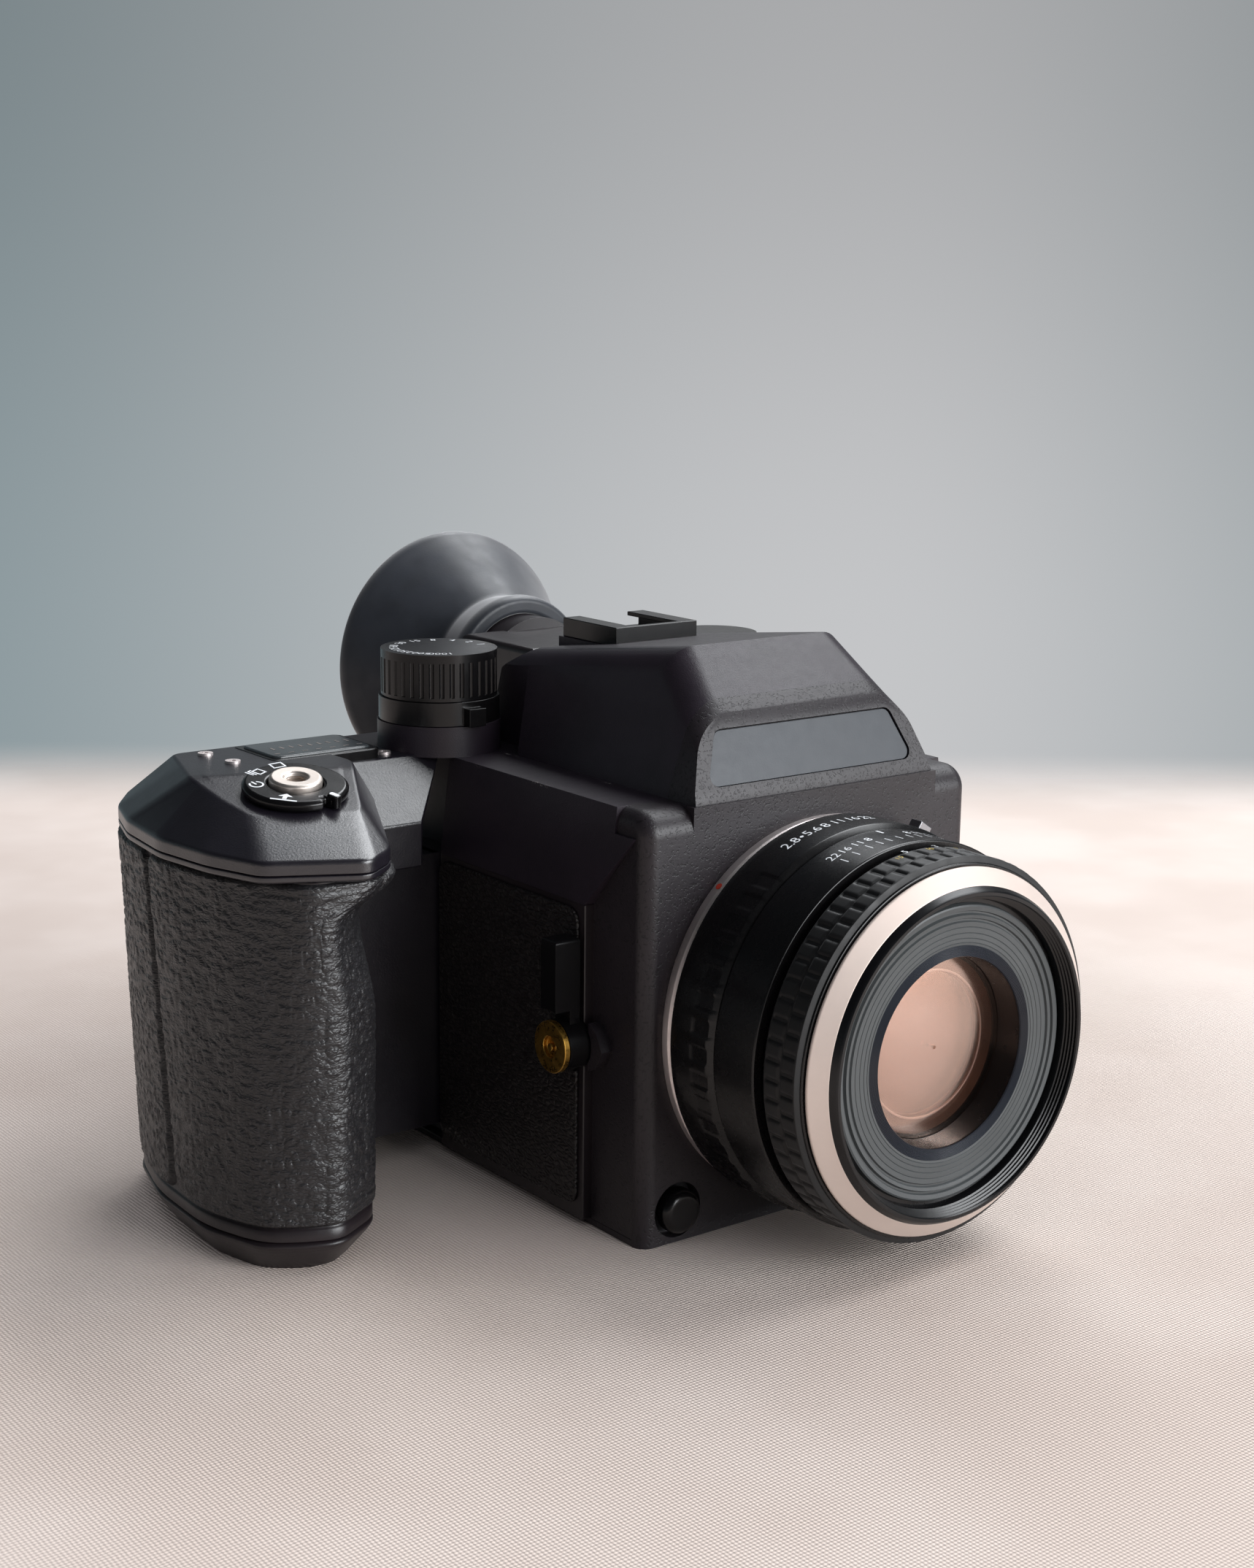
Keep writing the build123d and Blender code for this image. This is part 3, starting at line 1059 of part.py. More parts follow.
def lens_bayonet():
    """The lens's rear: flange, tube with three claws, and the cell of the rear glass."""
    solid = tube_y(FLANGE_RADIUS, TUBE_BORE, APERTURE_REAR + SEAT, MOUNT_FACE_Y)
    solid += tube_y(SLEEVE_RADIUS, TUBE_BORE, -4.6, MOUNT_FACE_Y)
    solid += tube_y(TUBE_RADIUS, TUBE_BORE, MOUNT_FACE_Y - 0.1, 2.4)
    for i in range(3):
        solid += sector_y(THROAT_RADIUS - 0.35, TUBE_RADIUS - 0.5, MOUNT_FACE_Y + 2.0, 1.6, 90 + 120 * i,
                          CLAW_ANGLE)
    solid += tube_y(TUBE_BORE + 0.2, REAR_GLASS_RADIUS, CELL_FRONT, 1.4)
    solid -= tube_y(40, TUBE_BORE - 0.4, CELL_FRONT - 1, -4.6)
    return solid


def aperture_ring():
    """The aperture ring behind the barrel, with a scalloped front edge."""
    solid = tube_y(APERTURE_RADIUS, SLEEVE_RADIUS + SLIDE_FIT, APERTURE_FRONT, APERTURE_REAR)
    front = [e for e in edges_at(solid, "Y", APERTURE_FRONT) if e.radius > SLEEVE_RADIUS + 1]
    solid = chamfer(front, 0.8)
    return solid - lock_button_room(SLIDE_FIT, LOCK_TRAVEL + SLIDE_FIT)


def lock_button_room(grow, depth):
    """The aperture lock button's stem, or its pocket when grown and made deeper."""
    half = LOCK_HALF + grow
    stem = block(-half, half, LOCK_Y[0] - grow, LOCK_Y[1] + grow, LOCK_LOW - depth, LOCK_TOP)
    return Pos(0, 0, LENS_Z) * Rot(0, LOCK_ANGLE, 0) * stem


def aperture_lock_button():
    """The button that locks the aperture ring in its automatic place."""
    return lock_button_room(0, 0)


def lens_barrel():
    """The fixed barrel: a sleeve for the two rings and the wide plain part between them."""
    solid = tube_y(SLEEVE_RADIUS, SLEEVE_BORE, -34.0, -4.6)
    solid += tube_y(BARREL_RADIUS, SLEEVE_RADIUS - 1, BARREL_FRONT, BARREL_REAR)
    return solid


def focus_ring():
    """The focus ring that turns on the sleeve."""
    return tube_y(FOCUS_RADIUS, SLEEVE_RADIUS + SLIDE_FIT, FOCUS_FRONT, FOCUS_REAR)


def focus_grip():
    """The rubber band on the focus ring, with shallow grooves along it."""
    solid = tube_y(RUBBER_RADIUS, FOCUS_RADIUS, RUBBER_FRONT, RUBBER_REAR)
    count = 48
    groove = block(-0.6, 0.6, RUBBER_FRONT + 1.2, RUBBER_REAR - 1.2, RUBBER_RADIUS - 0.6, RUBBER_RADIUS + 1)
    grooves = [Pos(0, 0, LENS_Z) * Rot(0, 360 * i / count, 0) * groove for i in range(count)]
    return solid - grooves


def front_trim_ring():
    """The silver ring round the front, a short cone."""
    return turned_y([(TRIM_SMALL, TRIM_FRONT), (TRIM_BIG, TRIM_EDGE), (TRIM_BIG, TRIM_REAR),
                     (TRIM_SMALL, TRIM_REAR)])


def front_barrel():
    """The inner barrel: filter rim, stepped baffle, glass seat and the tube that slides in the sleeve."""
    tube = SLEEVE_BORE - SLIDE_FIT
    y_thread = RIM_FRONT + FILTER_DEPTH
    profile = [(FILTER_RADIUS, RIM_FRONT), (TRIM_SMALL, RIM_FRONT), (TRIM_SMALL, TRIM_REAR),
               (tube, TRIM_REAR), (tube, FRONT_TUBE_REAR), (BARREL_BORE, FRONT_TUBE_REAR),
               (BARREL_BORE, -28.0),
               (FRONT_GLASS_RADIUS, -28.0), (FRONT_GLASS_RADIUS, FRONT_GLASS_Y),
               (22.0, FRONT_GLASS_Y - 1.2), (22.0, y_thread + 1.0), (25.0, y_thread + 1.0),
               (25.0, y_thread + 0.5), (28.0, y_thread + 0.5), (28.0, y_thread), (FILTER_RADIUS, y_thread)]
    return turned_y(profile)


def front_element():
    """The front glass, domed to the front."""
    rim = FRONT_GLASS_RADIUS
    steps = 8
    dome = []
    for i in range(steps + 1):
        r = rim * i / steps
        dome.append((r, FRONT_GLASS_Y - 2.4 * (1 - (r / rim) ** 2)))
    profile = dome + [(rim, -29.0), (0.0, -29.0)]
    return turned_y(profile)


def iris_unit():
    """The iris: a carrier ring and its overlapping blades, stopped down a little."""
    solid = tube_y(BARREL_BORE - SLIDE_FIT, 23.0, IRIS_Y - 1.2, IRIS_Y + 1.2)
    return solid + tube_y(23.5, IRIS_HOLE, IRIS_Y - 0.3, IRIS_Y + 0.3)


def rear_element():
    """The rear glass in the bayonet."""
    return rod_y(REAR_GLASS_RADIUS, -6.6, 0.6)


def all_parts():
    """Every piece by its node name."""
    return {
        "body_casting": body_casting(),
        "front_casing": front_casing(),
        "grip_side_cover": grip_side_cover(),
        "socket_side_cover": socket_side_cover(),
        "grip_side_leather": grip_side_leather(),
        "socket_side_leather": socket_side_leather(),
        "base_plate": base_plate(),
        "tripod_bushes": tripod_bushes(),
        "top_cover": top_cover(),
        "name_plate": name_plate(),
        "accessory_shoe": accessory_shoe(),
        "pentaprism": pentaprism(),
        "focusing_screen": focusing_screen(),
        "eyepiece_housing": eyepiece_housing(),
        "eyepiece_lens": eyepiece_lens(),
        "eyecup": eyecup(),
        "dioptre_wheel": dioptre_wheel(),
        "grip_shell": grip_shell(),
        "grip_leather": grip_leather(),
        "grip_cap": grip_cap(),
        "deck_screws": deck_screws(),
        "display_window": display_window(),
        "drive_dial": drive_dial(),
        "release_button": release_button(),
        "battery_tray": battery_tray(),
        "battery_cells": battery_cells(),
        "battery_latch": battery_latch(),
        "shutter_speed_dial": shutter_speed_dial(),
        "metering_lever": metering_lever(),
        "exposure_dial": exposure_dial(),
        "mount_ring": mount_ring(),
        "lens_release_button": lens_release_button(),
        "focus_mode_switch": focus_mode_switch(),
        "preview_lever": preview_lever(),
        "preview_screw": preview_screw(),
        "mirror_frame": mirror_frame(),
        "reflex_mirror": reflex_mirror(),
        "shutter_frame": shutter_frame(),
        "shutter_leaf_low": shutter_leaf(0),
        "shutter_leaf_mid": shutter_leaf(1),
        "shutter_leaf_top": shutter_leaf(2),
        "film_insert_frame": film_insert_frame(),
        "film_back_cover": film_back_cover(),
        "pressure_plate": pressure_plate(),
        "feed_spool": spool(SPOOL_LOW_Z),
        "takeup_spool": spool(SPOOL_HIGH_Z),
        "film_latch_key": film_latch_key(),
        "strap_lugs": strap_lugs(),
        "side_sockets": side_sockets(),
        "lens_bayonet": lens_bayonet(),
        "aperture_ring": aperture_ring(),
        "aperture_lock_button": aperture_lock_button(),
        "lens_barrel": lens_barrel(),
        "focus_ring": focus_ring(),
        "focus_grip": focus_grip(),
        "front_trim_ring": front_trim_ring(),
        "front_barrel": front_barrel(),
        "front_element": front_element(),
        "iris_unit": iris_unit(),
        "rear_element": rear_element(),
    }


def write_parts():
    """Write one STEP file for each piece, moved to the part's own origin."""
    os.makedirs("parts", exist_ok=True)
    for name, solid in all_parts().items():
        export_step(Pos(*ORIGIN_SHIFT) * solid, f"parts/{name}.step")


write_parts()
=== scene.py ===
"""Looks of the medium format film camera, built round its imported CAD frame.

Shapes are worked out in millimetres in the drawing frame of the CAD source: X to the right of a person
who faces the lens, Y from the lens towards the eyepiece, Z up, the casing's face at Y = 0 and the lens
axis at X = 0. place() moves them to metres in the part's own frame.
"""

import math
from functools import partial

import bmesh
import bpy
import numpy as np
from mathutils import Matrix, Vector

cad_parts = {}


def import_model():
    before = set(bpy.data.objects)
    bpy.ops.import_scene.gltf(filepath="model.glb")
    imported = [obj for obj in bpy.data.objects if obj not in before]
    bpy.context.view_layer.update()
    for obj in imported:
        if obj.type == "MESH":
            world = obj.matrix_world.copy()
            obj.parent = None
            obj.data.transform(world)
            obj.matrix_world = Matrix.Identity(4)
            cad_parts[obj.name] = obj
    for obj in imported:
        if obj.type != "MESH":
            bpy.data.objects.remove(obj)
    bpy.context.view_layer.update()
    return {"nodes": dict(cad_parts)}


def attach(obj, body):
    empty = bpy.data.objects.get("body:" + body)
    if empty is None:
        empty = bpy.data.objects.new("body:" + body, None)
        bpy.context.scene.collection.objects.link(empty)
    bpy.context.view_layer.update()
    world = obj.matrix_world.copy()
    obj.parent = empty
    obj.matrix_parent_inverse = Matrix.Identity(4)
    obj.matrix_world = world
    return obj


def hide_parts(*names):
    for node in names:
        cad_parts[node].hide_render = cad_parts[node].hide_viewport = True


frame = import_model()
NODES = frame["nodes"]

# Drawing frame and the view
DRAWING_SHIFT = np.array([0.0, -38.0, 0.0])
EYE_POINT = np.array([-296.76, -328.63, 180.14])
EYE_YAW = 0.6505
EYE_PITCH = 0.2119
EYE_ROLL = 0.0121
EYE_LENS = 67.35
FLOOR_FADE = 0.78
FLOOR_REACH = 0.91
CAD_EDGE = 32.0

# Room light: strengths, lamp places and sizes in metres, lamp powers in watts
ROOM_CEILING = 0.14
ROOM_BEHIND = 0.45
ROOM_LEFT = 0.5
ROOM_RIGHT = 0.8
LAMP_TONE = (0.95, 0.975, 1.0)
HIGH_PLACE = (0.8, 0.3, 1.15)
HIGH_SIZE = (0.62, 1.7)
HIGH_POWER = 21.5
HIGH_TILT = 32.0
FRONT_PLACE = (0.6, -1.35, 0.46)
FRONT_TARGET = (0.0, 0.0, 0.06)
FRONT_SIZE = (1.15, 0.78)
FRONT_POWER = 30.5
TABLE_REACH = 2.5

# Lens
LENS_Z = 41.8
MOUNT_RADIUS = 37.8
MOUNT_FACE = -2.6
APERTURE_RADIUS = 38.5
APERTURE_BORE = 33.05
NOTCH_COUNT = 48
NOTCH_DEPTH = 0.2
BARREL_RADIUS = 37.7
BARREL_REAR = -15.1
BARREL_FRONT = -26.2
SLEEVE_RADIUS = 33.0
FOCUS_RADIUS = 35.6
FOCUS_REAR = -26.5
FOCUS_FRONT = -36.9
RUBBER_RADIUS = 36.8
RUBBER_REAR = -27.6
RUBBER_FRONT = -36.5
RIB_COUNT = 62
RIB_DEPTH = 0.38
TRIM_BIG = 35.0
TRIM_SMALL = 32.0
TRIM_REAR = -37.1
TRIM_EDGE = -37.6
TRIM_FRONT = -40.1
RIM_FRONT = -41.4
THREAD_COUNT = 4
THREAD_OUT = 30.3
THREAD_IN = 29.4
THREAD_REAR = -38.7
BAFFLE_OUT = 28.3
BAFFLE_FACE = -38.0
RIDGES_OUT = 20.4
CONE_OUT = 18.2
CONE_IN = 17.8
CONE_REAR = -32.8
CONE_STEPS = 9
RIDGE_COUNT = 8
GLASS_RADIUS = 17.7
GLASS_RIM = -32.4
GLASS_BULGE = 1.2

# Profiles in the lens: glasses are (radius, Y of the rim, bulge), outlines are (radius, Y), baffle steps are
# (radius, distance behind the baffle's face) and aperture rows are (Y, distance under the full radius)
SECOND_GLASS = (14.1, -30.6, 1.1)
INNER_GLASS = (12.6, -24.8, -3.5)
CELL_OUTLINE = [(17.15, -31.6), (16.0, -30.4), (14.2, -30.4), (14.2, -27.5), (12.8, -26.0), (12.8, -20.5),
                (17.15, -20.5)]
EDGE_RING = [(14.0, -31.5), (14.45, -31.5), (14.45, -31.1), (14.0, -31.1)]
BAFFLE_STEPS = [(26.9, -0.05), (26.7, 0.4), (26.4, 0.4), (26.1, -0.12), (25.5, 0.0), (25.3, 0.4),
                (25.0, 0.4), (24.75, 0.05)]
BAFFLE_GROOVES = (23.8, 22.7, 21.7, 20.9)
APERTURE_PLAIN = (-52, 33)
NOTCH_SPAN = (-15.9, -9.0)
APERTURE_ROWS = [(-14.9, 1.2), (-14.75, 1.0), (-13.95, 0.12), (-13.8, 0.0), (-13.4, 0.0), (-10.2, 0.0),
                 (-9.7, 0.0), (-9.2, 0.0), (-8.7, 0.0), (-5.0, 0.0), (-3.7, 0.0), (-3.35, 0.12),
                 (-3.2, 0.45)]

# Numbers on the lens, each with its angle in degrees from straight up towards the grip
STOP_NUMBERS = [("2.8", 21.8), ("5.6", 13.6), ("8", 8.6), ("11", 3.9), ("16", -1.4), ("22", -6.9)]
STOP_DOT = 17.7
DEPTH_NUMBERS = [("22", 21.0), ("16", 16.5), ("11", 11.5), ("8", 7.5), ("8", -7.5), ("11", -11.5),
                 ("16", -16.5), ("22", -21.0)]
DEPTH_LINES = (21.0, 16.5, 11.5, 7.5, 4.0, 0.0, -4.0, -7.5, -11.5, -16.5, -21.0)
METRE_NUMBERS = [("5", 6.0), ("3", -6.0), ("2", -17.0), ("1.5", -28.0), ("1.2", -39.0), ("1", -50.0)]
FOOT_NUMBERS = [("15", 10.5), ("10", -1.5), ("7", -12.5), ("5", -23.5), ("4", -34.5)]
STOP_HEIGHT = 2.3
DEPTH_HEIGHT = 1.9
METRE_HEIGHT = 1.5
FOOT_HEIGHT = 1.2
MOUNT_DOT = 43.0
MARK_LIFT = 0.03

# Grip
DECK_Z = 85.4
BAND_HIGH_Z = 78.5
BAND_SEAM_Z = 75.9
BAND_LOW_Z = 74.5
TRIM_HIGH_Z = 8.9
TRIM_LOW_Z = 6.4
FOOT_Z = 5.2
WEB_FOOT_Z = 64.9
WEB_TOP_Z = 85.4
WALL_REAR_Y = 93.9
BAND_OUTLINE = [(-79.8, 27.0), (-87.2, 21.4), (-104.8, 30.4), (-109.0, 43.0), (-111.0, 58.0), (-109.2, 75.0),
                (-105.0, 88.0), (-98.0, 98.0), (-62.0, 98.0), (-60.0, 66.0), (-64.9, 56.5)]
DECK_OUTLINE = [(-78.4, 40.2), (-80.1, 37.8), (-98.9, 44.4), (-100.2, 53.0), (-100.6, 59.0), (-100.7, 65.0),
                (-97.1, 75.9), (-93.4, 87.1), (-68.2, 87.1), (-67.2, 62.1), (-69.95, 56.67)]
DECK_RISE = 0.19
DECK_LEAN = 0.05
DECK_FLAT_Z = 87.5
DECK_CREASE = 0.22
CAP_CORNER = 2.2
DISPLAY_FRAME = (-80.6, -56.2, 69.4, 86.2)
DISPLAY_WINDOW = (-79.3, -57.5, 70.7, 84.9)
GRIP_HIGH = [(-81.4, 30.4), (-90.8, 24.9), (-97.8, 26.9), (-106.4, 39.6), (-109.8, 57.5),
             (-108.4, 74.8), (-105.0, 88.0), (-98.4, 97.4), (-62.0, 97.4), (-64.0, 66.0)]
GRIP_LEDGE = [(-77.8, 29.2), (-84.6, 25.2), (-96.8, 26.0), (-106.4, 39.6), (-109.8, 57.5),
              (-108.4, 74.8), (-105.0, 88.0), (-98.4, 97.4), (-62.0, 97.4), (-63.0, 62.0)]
GRIP_LOW = [(-82.2, 30.6), (-92.4, 24.7), (-98.6, 27.0), (-105.6, 31.4), (-110.2, 45.4),
            (-109.4, 66.0), (-104.8, 83.0), (-96.4, 94.6), (-62.0, 94.6), (-64.0, 66.0)]
GRIP_FLOOR = [(-84.6, 34.6), (-92.0, 29.6), (-97.4, 30.6), (-103.6, 35.2), (-106.6, 46.4),
              (-105.8, 65.2), (-101.6, 81.0), (-94.2, 91.4), (-64.6, 91.4), (-66.8, 66.0)]
LEDGE_FOOT_Z = 62.0
LEDGE_LOW_Z = 69.0
DRIVE_X = -86.6
DRIVE_Y = 50.0
DRIVE_RADIUS = 10.0
DRIVE_TOP = 87.7
DRIVE_FOOT = 85.6
DRIVE_LOW_EDGE = 86.1
DRIVE_HIGH_EDGE = 87.1
DRIVE_WELL = 5.3
DRIVE_WELL_TOP = 5.6
DRIVE_CUT_ANGLE = 277.0
DRIVE_CUT_DEPTH = 1.5
DRIVE_INDEX_ANGLE = -72.0
RELEASE_RADIUS = 5.0
RELEASE_TOP = 88.9
RELEASE_FOOT = 86.9
CABLE_RADIUS = 2.15
THREAD_PITCH = 0.42

# Leather: corner cuts of the grip's outline, the panels' ends along it, and the relief's lifts, all in mm
GRIP_CUTS = [3.0, 2.6, 3.0, 6.0, 6.0, 6.0, 6.0, 6.0, 5.0, 5.0]
RIDGE_Y = 62.2
FRONT_PANEL = (-86.0, -0.4)
REAR_PANEL = (0.4, 33.0)
PANEL_CORNER = 3.0
CREASE_DEPTH = 0.24
WAVE_DEPTH = 0.06
PANEL_LIFT = 0.45
PANEL_SINK = 0.6
PANEL_BASE = -0.12

# Top dial and eyecup
SPEED_X = -38.0
DIAL_Y = 76.0
SPEED_TOP = 105.6
SPEED_WORDS = ["1000", "500", "250", "125", "60", "30", "15", "8", "4", "2", "1"]
SPEED_RING = 9.3
SPEED_START = 240.0
SPEED_STEP = 25.0
SPEED_HEIGHT = 1.8
EYE_Z = 92.5
CUP_TUBE = 14.0
CUP_RADIUS = 29.9
CUP_FRONT = 101.0
CUP_REAR = 131.0
CUP_OUTLINE = [(CUP_TUBE + 0.05, CUP_FRONT), (17.5, CUP_FRONT), (18.2, CUP_FRONT + 2.0), (17.0, 110.5),
               (21.5, 117.0), (27.8, 125.6), (CUP_RADIUS, 128.8), (CUP_RADIUS, CUP_REAR), (28.3, CUP_REAR),
               (27.0, 127.6), (20.0, 119.4), (14.6, 113.6), (CUP_TUBE + 0.05, 112.9)]


def place(points):
    """Millimetres in the drawing frame become metres in the part's frame: (p + shift) / 1000."""
    return (np.asarray(points, float) + DRAWING_SHIFT) * 0.001


# Materials

class Nodes:
    """Shader nodes in one tree, made and joined by short calls."""

    def __init__(self, tree):
        """Keeps the tree that the calls work on."""
        self.tree = tree

    def add(self, kind, **values):
        """A new node with some of its settings."""
        node = self.tree.nodes.new(kind)
        for key, value in values.items():
            setattr(node, key, value)
        return node

    def feed(self, socket, value):
        """A number or colour goes on the socket, an output is linked to it."""
        if isinstance(value, bpy.types.NodeSocket):
            self.tree.links.new(value, socket)
        else:
            socket.default_value = value

    def math(self, operation, first, second=0.0):
        """A sum, product or the like of two numbers."""
        node = self.add("ShaderNodeMath", operation=operation)
        self.feed(node.inputs[0], first)
        self.feed(node.inputs[1], second)
        return node.outputs[0]

    def measure(self, operation, first, second=(0.0, 0.0, 0.0)):
        """One number from two vectors, such as their dot product or distance."""
        node = self.add("ShaderNodeVectorMath", operation=operation)
        self.feed(node.inputs[0], first)
        self.feed(node.inputs[1], second)
        return node.outputs["Value"]

    def part(self, vector, axis):
        """One coordinate of a vector."""
        node = self.add("ShaderNodeSeparateXYZ")
        self.feed(node.inputs[0], vector)
        return node.outputs[axis]

    def between(self, value, low, high, to_low=0.0, to_high=1.0):
        """A smooth change from to_low to to_high as value goes from low to high."""
        node = self.add("ShaderNodeMapRange", interpolation_type="SMOOTHSTEP")
        self.feed(node.inputs["Value"], value)
        node.inputs["From Min"].default_value = low
        node.inputs["From Max"].default_value = high
        node.inputs["To Min"].default_value = to_low
        node.inputs["To Max"].default_value = to_high
        return node.outputs["Result"]

    def blend(self, amount, first, second):
        """A mix of two colours."""
        node = self.add("ShaderNodeMix", data_type="RGBA")
        self.feed(node.inputs["Factor"], amount)
        self.feed(node.inputs[6], first)
        self.feed(node.inputs[7], second)
        return node.outputs[2]


class Recipe(Nodes):
    """A node material in the making: one Principled shader and the textures that feed it."""

    def __init__(self, name):
        """Starts the material and its object coordinates."""
        self.material = bpy.data.materials.new(name)
        self.material.use_nodes = True
        super().__init__(self.material.node_tree)
        self.shader = self.tree.nodes["Principled BSDF"]
        self.place = self.add("ShaderNodeTexCoord").outputs["Object"]

    def stretched(self, scale):
        """The object coordinates, scaled along each axis."""
        node = self.add("ShaderNodeMapping")
        self.feed(node.inputs["Vector"], self.place)
        node.inputs["Scale"].default_value = scale
        return node.outputs["Vector"]

    def noise(self, scale, detail=3.0, rough=0.55, where=None):
        """Cloud noise at the object coordinates or at where."""
        node = self.add("ShaderNodeTexNoise")
        self.feed(node.inputs["Vector"], self.place if where is None else where)
        node.inputs["Scale"].default_value = scale
        node.inputs["Detail"].default_value = detail
        node.inputs["Roughness"].default_value = rough
        return node.outputs["Fac"]

    def warped(self, where, scale, amount):
        """Coordinates pushed about by noise: p + amount n(p)."""
        node = self.add("ShaderNodeTexNoise")
        self.feed(node.inputs["Vector"], where)
        node.inputs["Scale"].default_value = scale
        node.inputs["Detail"].default_value = 1.0
        push = self.add("ShaderNodeVectorMath", operation="MULTIPLY_ADD")
        self.feed(push.inputs[0], node.outputs["Color"])
        push.inputs[1].default_value = (amount, amount, amount)
        self.feed(push.inputs[2], where)
        return push.outputs["Vector"]

    def cell_edges(self, scale, where):
        """The distance to the nearest border between random cells."""
        node = self.add("ShaderNodeTexVoronoi", feature="DISTANCE_TO_EDGE")
        self.feed(node.inputs["Vector"], where)
        node.inputs["Scale"].default_value = scale
        return node.outputs["Distance"]

    def ridges(self, direction, scale, distortion):
        """Sine ridges across one axis, bent by noise."""
        node = self.add("ShaderNodeTexWave", wave_type="BANDS", bands_direction=direction)
        node.inputs["Scale"].default_value = scale
        node.inputs["Distortion"].default_value = distortion
        self.feed(node.inputs["Vector"], self.place)
        return node.outputs["Fac"]

    def bump(self, height, strength, distance, under=None):
        """A normal bent by a height, on top of another one where given."""
        node = self.add("ShaderNodeBump")
        node.inputs["Strength"].default_value = strength
        node.inputs["Distance"].default_value = distance
        self.feed(node.inputs["Height"], height)
        if under is not None:
            self.feed(node.inputs["Normal"], under)
        return node.outputs["Normal"]

    def cloudy(self, scale, first, second, rough=0.55):
        """A soft patchwork of two colours."""
        return self.blend(self.between(self.noise(scale, 4.0, rough), 0.35, 0.65), first, second)

    def uneven(self, scale, low, high):
        """A number that wanders between low and high."""
        return self.between(self.noise(scale), 0.3, 0.7, low, high)

    def done(self, **sockets):
        """Sets or links the shader's sockets and gives the material back."""
        for name, value in sockets.items():
            self.feed(self.shader.inputs[name.replace("_", " ")], value)
        return self.material


def rgb(red, green, blue):
    """A colour from 0..255 display values to linear light."""
    channels = []
    for value in (red, green, blue):
        part = value / 255.0
        channels.append(part / 12.92 if part <= 0.04045 else ((part + 0.055) / 1.055) ** 2.4)
    return (*channels, 1.0)


def shade(tone, factor, lift=0.0):
    """A colour made darker or lighter: tone * factor + lift, at most 1."""
    return tuple(min(1.0, c * factor + lift) for c in tone[:3]) + (1.0,)


def black_paint(name, tone, rough, grain=0.35, grain_scale=3200.0, mottling=0.15, shine=0.4, pits=0.0):
    """Fine-grained black paint: a noise bump a third of a millimetre wide, a cloudy tone and, where asked,
    small pits like those of a crackle finish."""
    r = Recipe(name)
    base = r.cloudy(60.0, shade(tone, 1 - mottling), shade(tone, 1 + mottling))
    normal = r.bump(r.noise(grain_scale, 2.0, 0.6), grain, 0.00006)
    if pits:
        holes = r.between(r.noise(1700.0, 2.0, 0.5), 0.34, 0.44)
        normal = r.bump(holes, pits, 0.0001, normal)
        base = r.blend(holes, shade(tone, 0.5), base)
    roughness = r.between(r.noise(420.0, 3.0, 0.6), 0.3, 0.7, rough - 0.015, rough + 0.015)
    return r.done(Base_Color=base, Roughness=roughness, Normal=normal, Specular_IOR_Level=shine)


def worn_top_paint():
    """The body paint with bare specks along the two long edges beside the hump: the wear is high where the
    sum of the distances to an edge's X and to its Z is small, and where two noises allow it."""
    r = Recipe("worn_top_paint")
    base = r.cloudy(60.0, rgb(30, 24, 31), rgb(34, 27, 35))
    x = r.part(r.place, "X")
    z = r.part(r.place, "Z")
    outer = r.math("ABSOLUTE", r.math("ADD", x, 0.0420))
    inner = r.math("ABSOLUTE", r.math("ADD", x, 0.0309))
    high = r.math("ABSOLUTE", r.math("SUBTRACT", z, 0.0848))
    near = r.math("ADD", r.math("MINIMUM", outer, inner), high)
    rim = r.between(near, 0.0002, 0.0007, 1.0, 0.0)
    specks = r.between(r.noise(1500.0, 4.0, 0.7), 0.56, 0.62)
    patches = r.between(r.noise(70.0, 2.0), 0.5, 0.62)
    wear = r.math("MULTIPLY", r.math("MULTIPLY", rim, specks), patches)
    roughness = r.between(r.noise(420.0, 3.0, 0.6), 0.3, 0.7, 0.39, 0.43)
    return r.done(Base_Color=r.blend(wear, base, rgb(170, 165, 160)), Roughness=roughness,
                  Normal=r.bump(r.noise(3600.0, 2.0, 0.6), 0.45, 0.00008), Specular_IOR_Level=0.4)


def grained_skin(name, tone, scale, depth, rough, shine):
    """Leather grain over the shaped pads: the distance to the borders of warped cells that are twice as long
    as high, with fine pores on top. The colour is lighter on the pad tops and darker in the creases between
    them, which is painted shade."""
    r = Recipe(name)
    pushed = r.warped(r.stretched((1.0, 1.0, 2.0)), scale * 0.6, 0.7 / scale)
    pads = r.between(r.cell_edges(scale, pushed), 0.0, 0.3)
    pores = r.noise(scale * 4.0, 2.0, 0.6)
    height = r.math("ADD", pads, r.math("MULTIPLY", pores, 0.18))
    # painted shade: the colour is lighter on the pad tops and darker down in the creases
    colour = r.blend(r.between(height, 0.3, 1.1), tone, shade(tone, 1.7, 0.002))
    return r.done(Base_Color=colour, Roughness=r.uneven(420.0, rough - 0.04, rough + 0.05),
                  Normal=r.bump(height, 0.7, depth), Specular_IOR_Level=shine)


def metal(name, tone, rough, lines=(1.0, 1.0, 1.0), grain=0.05, dull=0.06, bare=1.0):
    """Metal with fine turning or brushing marks, drawn out by lines, and slight clouding."""
    r = Recipe(name)
    marks = r.noise(900.0, 4.0, 0.65, r.stretched(lines))
    return r.done(Base_Color=r.cloudy(55.0, shade(tone, 1 - dull), tone, 0.6), Metallic=bare,
                  Roughness=r.between(marks, 0.3, 0.7, rough - grain, rough + grain),
                  Normal=r.bump(marks, 0.05, 0.00001))


def soft_rubber(name, tone, rough, sheen):
    """Rubber: a cloudy tone, fine pores and a dusty sheen."""
    r = Recipe(name)
    return r.done(Base_Color=r.cloudy(90.0, tone, shade(tone, 1.35), 0.6),
                  Roughness=r.uneven(240.0, rough - 0.06, rough + 0.06),
                  Normal=r.bump(r.noise(2600.0, 3.0, 0.6), 0.3, 0.00005),
                  Specular_IOR_Level=0.35, Sheen_Weight=sheen, Sheen_Roughness=0.4)


